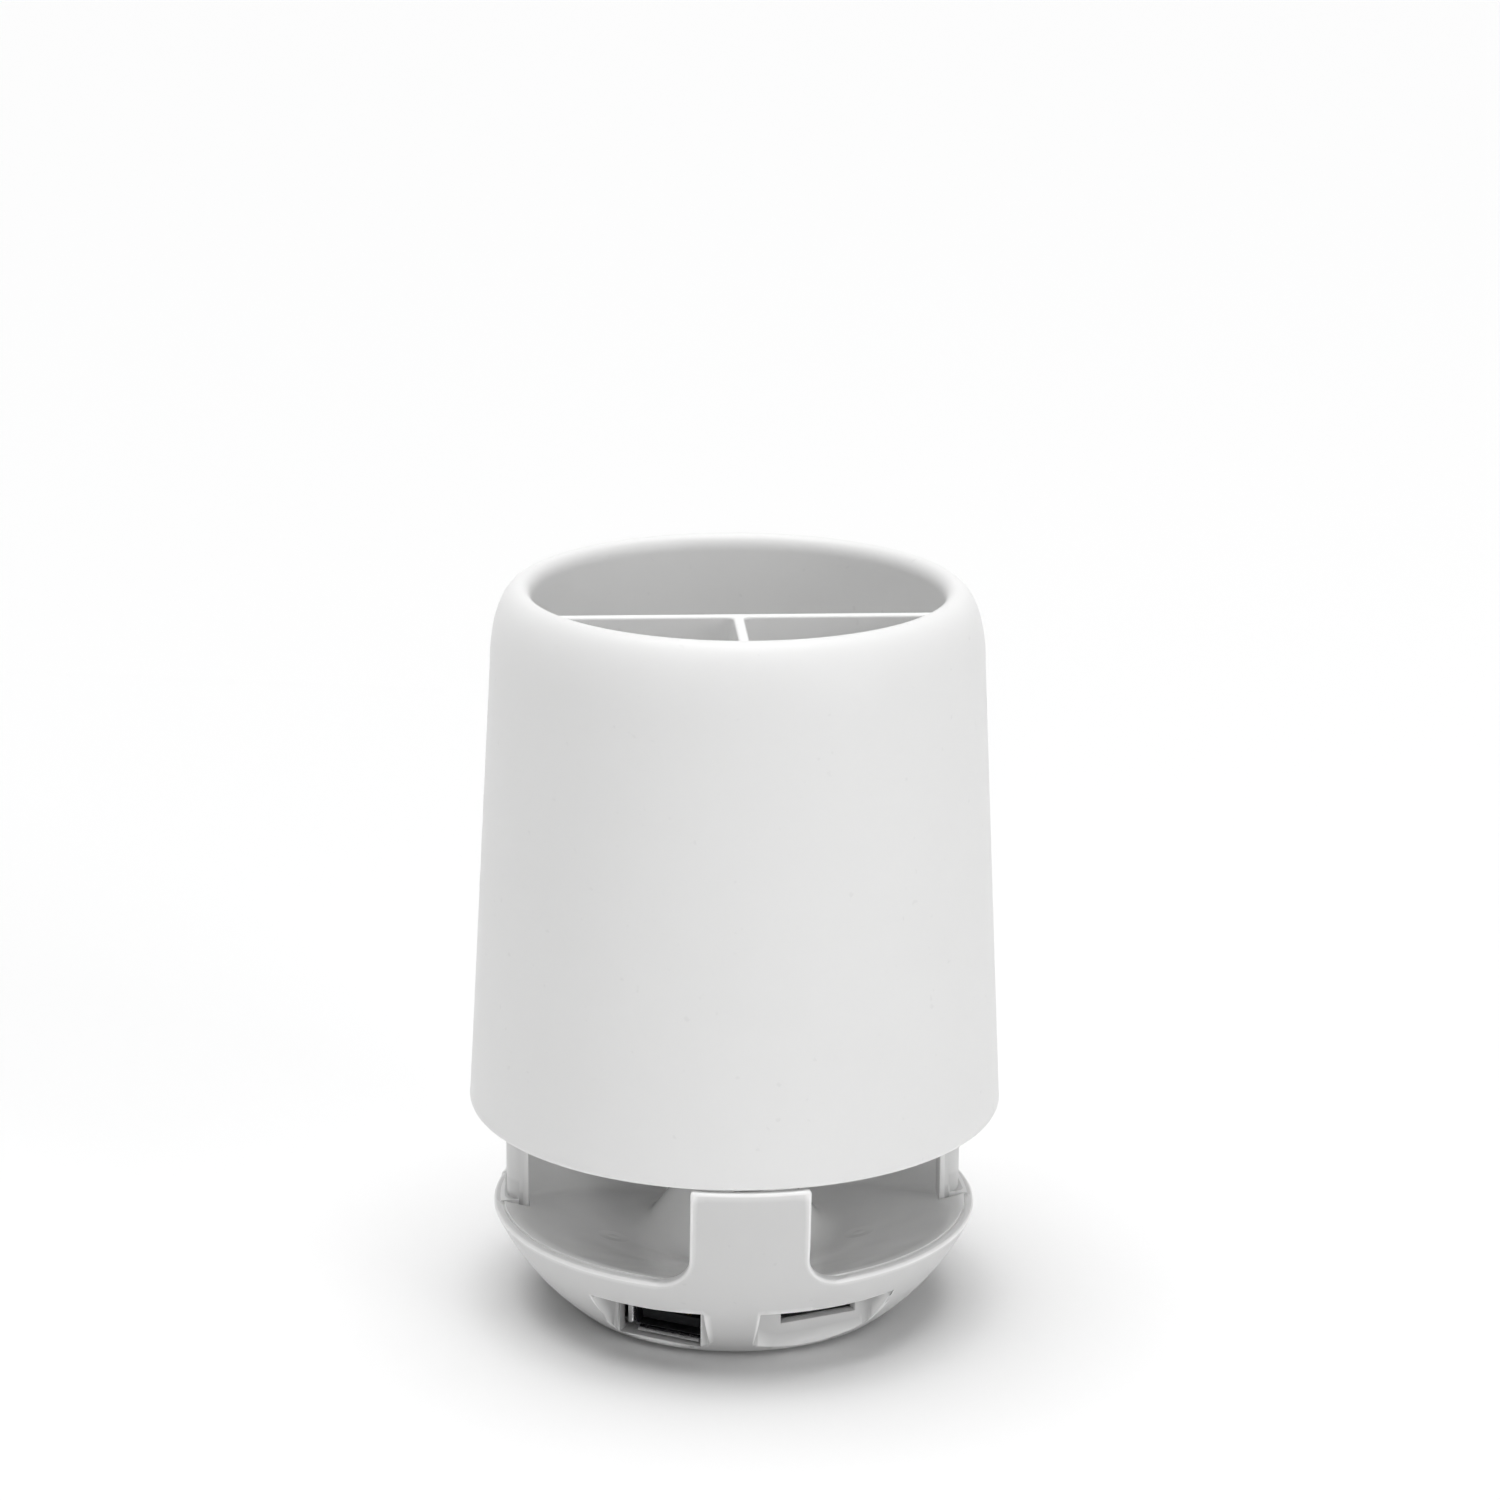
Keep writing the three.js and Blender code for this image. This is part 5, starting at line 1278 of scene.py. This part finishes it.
shown = rays.outputs["Is Camera Ray"]
for kind in ("Is Glossy Ray", "Is Transmission Ray"):
    shown = maths(tree, "MAXIMUM", shown, rays.outputs[kind])
mix_shaders(tree, shown, room.outputs[0], white.outputs[0], "ShaderNodeOutputWorld")
print("world nodes:", len(tree.nodes))

# %% [markdown]
# ## Lights
# A wide sun overhead lights the rim and the top of the shoulder, and makes the soft shadow under
# the ball. One softbox in front on the right gives the brighter band on the cup. A sun doesn't
# fade with distance, as a near lamp would, so the floor stays white to its edges.

# %% Add the lights
def light(kind, name, place, target, power):
    deselect()
    bpy.ops.object.light_add(type=kind)
    lamp = named(name)
    lamp.location = place
    aim = Vector(target) - Vector(place)
    lamp.rotation_euler = aim.to_track_quat("-Z", "Y").to_euler()
    lamp.data.energy = power
    return lamp.data


sun = light("SUN", "overhead_light", (-0.04, 0.04, 1.0), (0, 0, 0), 2.95)
sun.angle = math.radians(54)
softbox = light("AREA", "right_softbox", (0.7, -0.72, 0.31), (0, 0, 0.07), 1.6)
softbox.shape = "RECTANGLE"
softbox.size, softbox.size_y = 0.3, 0.55
bpy.context.scene.view_settings.view_transform = "Standard"

# %% [markdown]
# ## Surface effects shared by the materials
# Every moulded surface has a fine grain, a faint unevenness in gloss and small marks from use.
# They are made once as a group of nodes that gives plain values, and each material feeds them
# into its own shader. A picture would also hold such marks, but it can't follow a shape from all
# sides.

# %% Helpers for textures
def object_place(tree):
    return tree.nodes.new("ShaderNodeTexCoord").outputs["Object"]


def noise(tree, vector, scale, detail=2, roughness=0.5, distortion=0.0):
    node = tree.nodes.new("ShaderNodeTexNoise")
    settings = (("Scale", scale), ("Detail", detail), ("Roughness", roughness))
    for label, value in (*settings, ("Distortion", distortion), ("Vector", vector)):
        feed(tree, node.inputs[label], value)
    return node.outputs["Fac"]


def bumped(tree, height, strength, distance, under=None):
    """A normal that follows a height, on top of another normal if one is given."""
    node = tree.nodes.new("ShaderNodeBump")
    for label, value in (("Strength", strength), ("Distance", distance), ("Height", height)):
        feed(tree, node.inputs[label], value)
    if under:
        tree.links.new(under, node.inputs["Normal"])
    return node.outputs["Normal"]


# %% Make the moulded-surface group
FLOAT, VECTOR = "NodeSocketFloat", "NodeSocketVector"
INPUTS = (("Gloss Spread", 0.06), ("Tone Spread", 0.02), ("Marks", 0.05), ("Grain", 0.1))

moulded = bpy.data.node_groups.new("moulded_surface", "ShaderNodeTree")
for label, value in INPUTS:
    moulded.interface.new_socket(label, in_out="INPUT", socket_type=FLOAT).default_value = value
for label, kind in (("Tone", FLOAT), ("Gloss", FLOAT), ("Normal", VECTOR)):
    moulded.interface.new_socket(label, in_out="OUTPUT", socket_type=kind)
taken = moulded.nodes.new("NodeGroupInput").outputs
given = moulded.nodes.new("NodeGroupOutput").inputs
place = object_place(moulded)
clouds = noise(moulded, place, 38, 3, 0.55)
smears = noise(moulded, place, 120, 4, 0.6, 1.4)
specks = noise(moulded, place, 620, 1)
fine = noise(moulded, place, 5200, 2)
ripple = noise(moulded, place, 85, 2)
tone = remap(moulded, clouds, 0.3, 0.7, maths(moulded, "SUBTRACT", 1, taken["Tone Spread"]), 1)
mark = remap(moulded, specks, 0.73, 0.80, 0, taken["Marks"])
feed(moulded, given["Tone"], maths(moulded, "SUBTRACT", tone, mark))
gloss_low = maths(moulded, "MULTIPLY", taken["Gloss Spread"], -1)
feed(moulded, given["Gloss"], remap(moulded, smears, 0.3, 0.7, gloss_low, taken["Gloss Spread"]))
relief = maths(moulded, "MULTIPLY", fine, taken["Grain"])
height = maths(moulded, "ADD", relief, maths(moulded, "MULTIPLY", ripple, 0.35))
feed(moulded, given["Normal"], bumped(moulded, height, 0.35, 0.00006))
print("group:", moulded.name, len(moulded.nodes), "nodes")

# %% [markdown]
# ## Plastics
# The shade is a satin white, the base a slightly greyer white with more gloss, and the horn's
# floor is polished, which shows in its long soft reflections. The well and the horn get a brighter
# white than the shade, as painted light for their shaded insides. The same function makes each
# of them, and the black and rubber pieces too.

# %% Helpers for materials
def principled(tree):
    """A Principled shader that is linked to the material's output."""
    shader = tree.nodes.new("ShaderNodeBsdfPrincipled")
    out = tree.nodes.new("ShaderNodeOutputMaterial")
    tree.links.new(shader.outputs["BSDF"], out.inputs["Surface"])
    return shader.inputs


def blend(tree, factor, first, second):
    """A colour between two others, each one a colour or a socket."""
    node = tree.nodes.new("ShaderNodeMix")
    node.data_type = "RGBA"
    tree.links.new(factor, node.inputs["Factor"])
    for label, colour in (("A", first), ("B", second)):
        if isinstance(colour, tuple):
            node.inputs[label].default_value = (*colour, 1)
        else:
            tree.links.new(colour, node.inputs[label])
    return node.outputs["Result"]


def moulded_plastic(name, colour, roughness, spreads, coat=0.0, shine=0.5):
    """A plastic whose tone, gloss and normal come from the moulded-surface group."""
    look, tree = new_material(name)
    shader = principled(tree)
    surface = tree.nodes.new("ShaderNodeGroup")
    surface.node_tree = moulded
    for (label, _), value in zip(INPUTS, spreads):
        surface.inputs[label].default_value = value
    surface = surface.outputs
    dark = tuple(c * 0.55 for c in colour)
    tint = blend(tree, remap(tree, surface["Tone"], 0.0, 1.0, -1.2, 1), dark, colour)
    feed(tree, shader["Base Color"], tint)
    feed(tree, shader["Roughness"], maths(tree, "ADD", surface["Gloss"], roughness))
    feed(tree, shader["Normal"], surface["Normal"])
    shader["Coat Weight"].default_value = coat
    shader["Coat Roughness"].default_value = 0.08
    shader["Specular IOR Level"].default_value = shine
    return look, tree, shader, tint, surface


def dress(look, *pieces):
    """Gives pieces one material in place of any that they had."""
    for piece in pieces:
        piece.data.materials.clear()
        piece.data.materials.append(look)


# %% Make the white plastics of the cup
node = frame["nodes"]
shade_spreads = (0.05, 0.012, 0.05, 0.25)
shade_white = moulded_plastic(
    "shade_satin_white", (0.86, 0.86, 0.857), 0.4, shade_spreads, shine=0.22
)[0]
dress(shade_white, lampshade)
well_spreads = (0.05, 0.012, 0.04, 0.3)
# Painted light: the well, the divider, the baffle and the grille get a brighter white than the
# shade, standing in for light in the shaded well and horn.
well_white_painted_light = moulded_plastic("well_white_painted_light", (0.93, 0.93, 0.926), 0.38, well_spreads, shine=0.3)[0]
dress(well_white_painted_light, pen_well, divider, baffle, grille)
print("cup materials:", shade_white.name, well_white_painted_light.name)

# %% [markdown]
# ## Painted highlights on the base's edges
# The rounded edges of the windows, the web and the recesses get a painted highlight, which makes
# them brighter than the faces. Geometry's Pointiness is higher on such an edge than on the ball,
# and turns the base's colour lighter there.

# %% Make the base's white plastic
EDGE_FROM, EDGE_TO = 0.511, 0.53
EDGE_HIGHLIGHT_WHITE = (0.95, 0.95, 0.947)

base_white, tree, shader, tint, _ = moulded_plastic(
    "base_satin_white", (0.67, 0.67, 0.668), 0.33, (0.05, 0.015, 0.05, 0.2)
)
# Painted highlight: Pointiness turns the base's colour towards near white on its convex edges.
pointed = tree.nodes.new("ShaderNodeNewGeometry").outputs["Pointiness"]
painted_edge_highlight_mask = remap(tree, pointed, EDGE_FROM, EDGE_TO, 0, 1)
feed(tree, shader["Base Color"], blend(tree, painted_edge_highlight_mask, tint, EDGE_HIGHLIGHT_WHITE))
dress(base_white, housing, cover)
print("base material nodes:", len(tree.nodes))

# %% Make the grey, black and rubber looks
button_spreads = (0.05, 0.02, 0.03, 0.3)
button_grey = moulded_plastic("button_light_grey", (0.66, 0.665, 0.67), 0.3, button_spreads)[0]
dress(button_grey, *caps, knob)
sign_ink = moulded_plastic("sign_dark_grey", (0.07, 0.07, 0.073), 0.5, (0.05, 0.1, 0.02, 0.4))[0]
for cap in caps:
    cap.data.materials.append(sign_ink)
    for face in cap.data.polygons:
        if abs(face.center.y - SIGN_FLOOR * MM) < 0.01 * MM:
            face.material_index = 1

black_looks = (
    ("socket_black", (0.008, 0.008, 0.009), 0.5, (0.08, 0.1, 0.0, 0.4), 0.12),
    ("foot_rubber", (0.022, 0.022, 0.023), 0.72, (0.1, 0.2, 0.0, 1.2), 0.5),
    ("cone_paper", (0.018, 0.018, 0.02), 0.8, (0.1, 0.35, 0.0, 3.0), 0.5),
    ("surround_rubber", (0.02, 0.02, 0.021), 0.55, (0.1, 0.15, 0.0, 0.8), 0.5),
    ("wire_insulation", (0.03, 0.03, 0.033), 0.42, (0.06, 0.1, 0.0, 0.3), 0.5),
    ("switch_black", (0.02, 0.02, 0.022), 0.45, (0.08, 0.1, 0.02, 0.5), 0.5),
)
wearers = (
    (usb_tongue, card_tray),
    (foot,),
    (node["speaker_cone"], node["speaker_dust_cap"]),
    (node["speaker_surround"], node["speaker_gasket"]),
    (node["speaker_lead"], node["lamp_lead"]),
    [node["tact_switch_" + name] for name in BUTTONS],
)
for (name, colour, roughness, spreads, shine), pieces in zip(black_looks, wearers):
    dress(moulded_plastic(name, colour, roughness, spreads, shine=shine)[0], *pieces)
print("dark looks:", [row[0] for row in black_looks])

# %% [markdown]
# ## The polished horn
# The deck mirrors the window edges and the dark driver above it. Two round sink marks stand over
# its screw bosses, and the melt has left faint flow lines round the cone. Both are too shallow to
# model, so they are a bump that follows the distance from each boss and from the axis.

# %% Make the deck's material
# Painted light: the deck's white is brighter than the shade's, standing in for light in the dim
# horn. Its polish is real.
deck_white, tree, shader, _, surface = moulded_plastic(
    "deck_polished_white_painted_light", (0.92, 0.92, 0.917), 0.16, (0.05, 0.03, 0.02, 0.05), coat=0.4
)
place = object_place(tree)
dents = 0
for x in (-0.021, 0.021):
    away = tree.nodes.new("ShaderNodeVectorMath")
    away.operation = "DISTANCE"
    tree.links.new(place, away.inputs[0])
    away.inputs[1].default_value = (x, -0.008, 0.0133)
    dent = remap(tree, away.outputs["Value"], 0.0011, 0.0027, 0, 1)
    ring = maths(tree, "MULTIPLY", remap(tree, away.outputs["Value"], 0.0, 0.0013, 1, 0), 0.6)
    dents = maths(tree, "ADD", dents, maths(tree, "ADD", dent, ring))
flow = tree.nodes.new("ShaderNodeTexWave")
flow.wave_type = "RINGS"
flow.rings_direction = "Z"
for label, value in (("Scale", 34), ("Distortion", 5), ("Detail", 1), ("Detail Scale", 2)):
    flow.inputs[label].default_value = value
tree.links.new(place, flow.inputs["Vector"])
height = maths(tree, "ADD", dents, maths(tree, "MULTIPLY", flow.outputs["Fac"], 0.55))
feed(tree, shader["Normal"], bumped(tree, height, 0.5, 0.0003, surface["Normal"]))
dress(deck_white, deck)
print("deck material nodes:", len(tree.nodes))

# %% [markdown]
# ## Metals
# The socket shells are thin tinned steel with the fine lines of rolled sheet, and the screws are
# zinc plated. Stretched noise gives the lines. The shells of the two front sockets get a dark
# steel as painted shade, so that the insides of the sockets look black.

# %% Make the metals
def sheet_metal(name, colour, roughness, stretch, bump_height=0.3, tarnish=0.12):
    look, tree = new_material(name)
    shader = principled(tree)
    shader["Metallic"].default_value = 1
    place = object_place(tree)
    squeeze = tree.nodes.new("ShaderNodeMapping")
    squeeze.inputs["Scale"].default_value = stretch
    tree.links.new(place, squeeze.inputs["Vector"])
    lines = noise(tree, squeeze.outputs["Vector"], 900, 3, 0.6)
    stains = remap(tree, noise(tree, place, 260, 3, 0.6), 0.5, 0.8, 0, 1)
    spread_of = remap(tree, lines, 0.3, 0.7, roughness - 0.07, roughness + 0.1)
    feed(tree, shader["Roughness"], spread_of)
    darker_steel = tuple(c * (1 - tarnish * 3) for c in colour)
    feed(tree, shader["Base Color"], blend(tree, stains, colour, darker_steel))
    feed(tree, shader["Normal"], bumped(tree, lines, bump_height, 0.00003))
    return look


tinned = sheet_metal("tinned_steel", (0.72, 0.72, 0.73), 0.2, (1, 1, 6))
dress(tinned, usb_lips, charge_inlet)
# Painted shade: a dark steel on the USB and card socket shells makes the sockets' insides look
# black.
darker_steel = sheet_metal("socket_steel_painted_shade", (0.14, 0.14, 0.15), 0.5, (1, 1, 6))
dress(darker_steel, usb_shell, card_shell)
plated = sheet_metal("zinc_plated_steel", (0.58, 0.59, 0.6), 0.3, (1, 1, 1))
screws = [node[name] for name in node if "screw" in name]
dress(plated, *bottom_screws, *screws, node["power_switch_body"])
gold = sheet_metal("contact_gold", (0.83, 0.58, 0.25), 0.22, (1, 4, 1))
dress(gold, usb_contacts)
copper = sheet_metal("winding_copper", (0.72, 0.37, 0.2), 0.32, (0.4, 0.4, 9), 0.8, 0.2)
dress(copper, node["voice_coil"])
ferrite = sheet_metal("magnet_ferrite", (0.09, 0.09, 0.1), 0.5, (1, 1, 1), 0.7, 0.2)
dress(ferrite, node["speaker_magnet"])
basket_steel = sheet_metal("basket_pressed_steel", (0.3, 0.3, 0.31), 0.42, (1, 1, 3), 0.4)
dress(basket_steel, node["speaker_basket"])
foil = sheet_metal("battery_foil", (0.62, 0.64, 0.66), 0.36, (1, 1, 0.3), 0.6, 0.08)
dress(foil, node["battery"])
print("screws with a zinc finish:", len(screws) + len(bottom_screws))

# %% [markdown]
# ## Circuit boards
# The pieces inside the object keep the mesh of the solid model and get their own finish. A board
# has solder mask over copper tracks, and bright tinned pads. Cells of Voronoi texture lie much as
# tracks and pads do.

# %% Make the circuit boards
PAD_TIN = (0.62, 0.61, 0.58)


def circuit_board(name, mask):
    look, tree = new_material(name)
    shader = principled(tree)
    place = object_place(tree)
    cells = tree.nodes.new("ShaderNodeTexVoronoi")
    cells.feature = "DISTANCE_TO_EDGE"
    cells.inputs["Randomness"].default_value = 0.55
    pads = tree.nodes.new("ShaderNodeTexVoronoi")
    for texture, scale in ((cells, 260), (pads, 420)):
        texture.inputs["Scale"].default_value = scale
        tree.links.new(place, texture.inputs["Vector"])
    tracks = remap(tree, cells.outputs["Distance"], 0.06, 0.09, 1, 0)
    pad_mask = remap(tree, pads.outputs["Distance"], 0.16, 0.2, 1, 0)
    lifted = tuple(min(1, c * 1.9 + 0.01) for c in mask)
    painted = blend(tree, tracks, mask, lifted)
    feed(tree, shader["Base Color"], blend(tree, pad_mask, painted, PAD_TIN))
    feed(tree, shader["Roughness"], remap(tree, pad_mask, 0, 1, 0.34, 0.22))
    feed(tree, shader["Metallic"], pad_mask)
    raised = maths(tree, "MAXIMUM", tracks, pad_mask)
    feed(tree, shader["Normal"], bumped(tree, raised, 0.5, 0.00005))
    return look


green_board = circuit_board("board_green", (0.012, 0.11, 0.035))
dress(green_board, node["main_board"], node["control_board"])
white_board = circuit_board("lamp_board_white", (0.5, 0.5, 0.49))
dress(white_board, node["lamp_board"])
print("boards:", green_board.name, white_board.name)

# %% [markdown]
# ## The status light and the lamp's diodes
# The light pipe is a milky clear plastic, and each diode has a yellow phosphor with a fine grain.
# The lamp is shown switched off.

# %% Make the lamp materials
PALE_PHOSPHOR, DEEP_PHOSPHOR = (0.86, 0.84, 0.72), (0.8, 0.62, 0.12)

lamp_look, tree, shader, _, _ = moulded_plastic(
    "light_pipe_milky", (0.86, 0.87, 0.88), 0.2, (0.05, 0.03, 0.0, 0.1), coat=0.5
)
shader["Transmission Weight"].default_value = 0.35
dress(lamp_look, light_pipe)

phosphor, tree, shader, _, _ = moulded_plastic(
    "diode_phosphor", PALE_PHOSPHOR, 0.35, (0.05, 0.05, 0.0, 0.2)
)
grains = remap(tree, noise(tree, object_place(tree), 3000, 2), 0.42, 0.6, 0.15, 0.8)
feed(tree, shader["Base Color"], blend(tree, grains, PALE_PHOSPHOR, DEEP_PHOSPHOR))
dress(phosphor, *[node[f"lamp_diode_{i}"] for i in range(1, 9)])
shown = [o for o in bpy.context.scene.objects if o.type == "MESH" and not o.hide_render]
print("pieces without a material:", [o.name for o in shown if not o.data.materials])
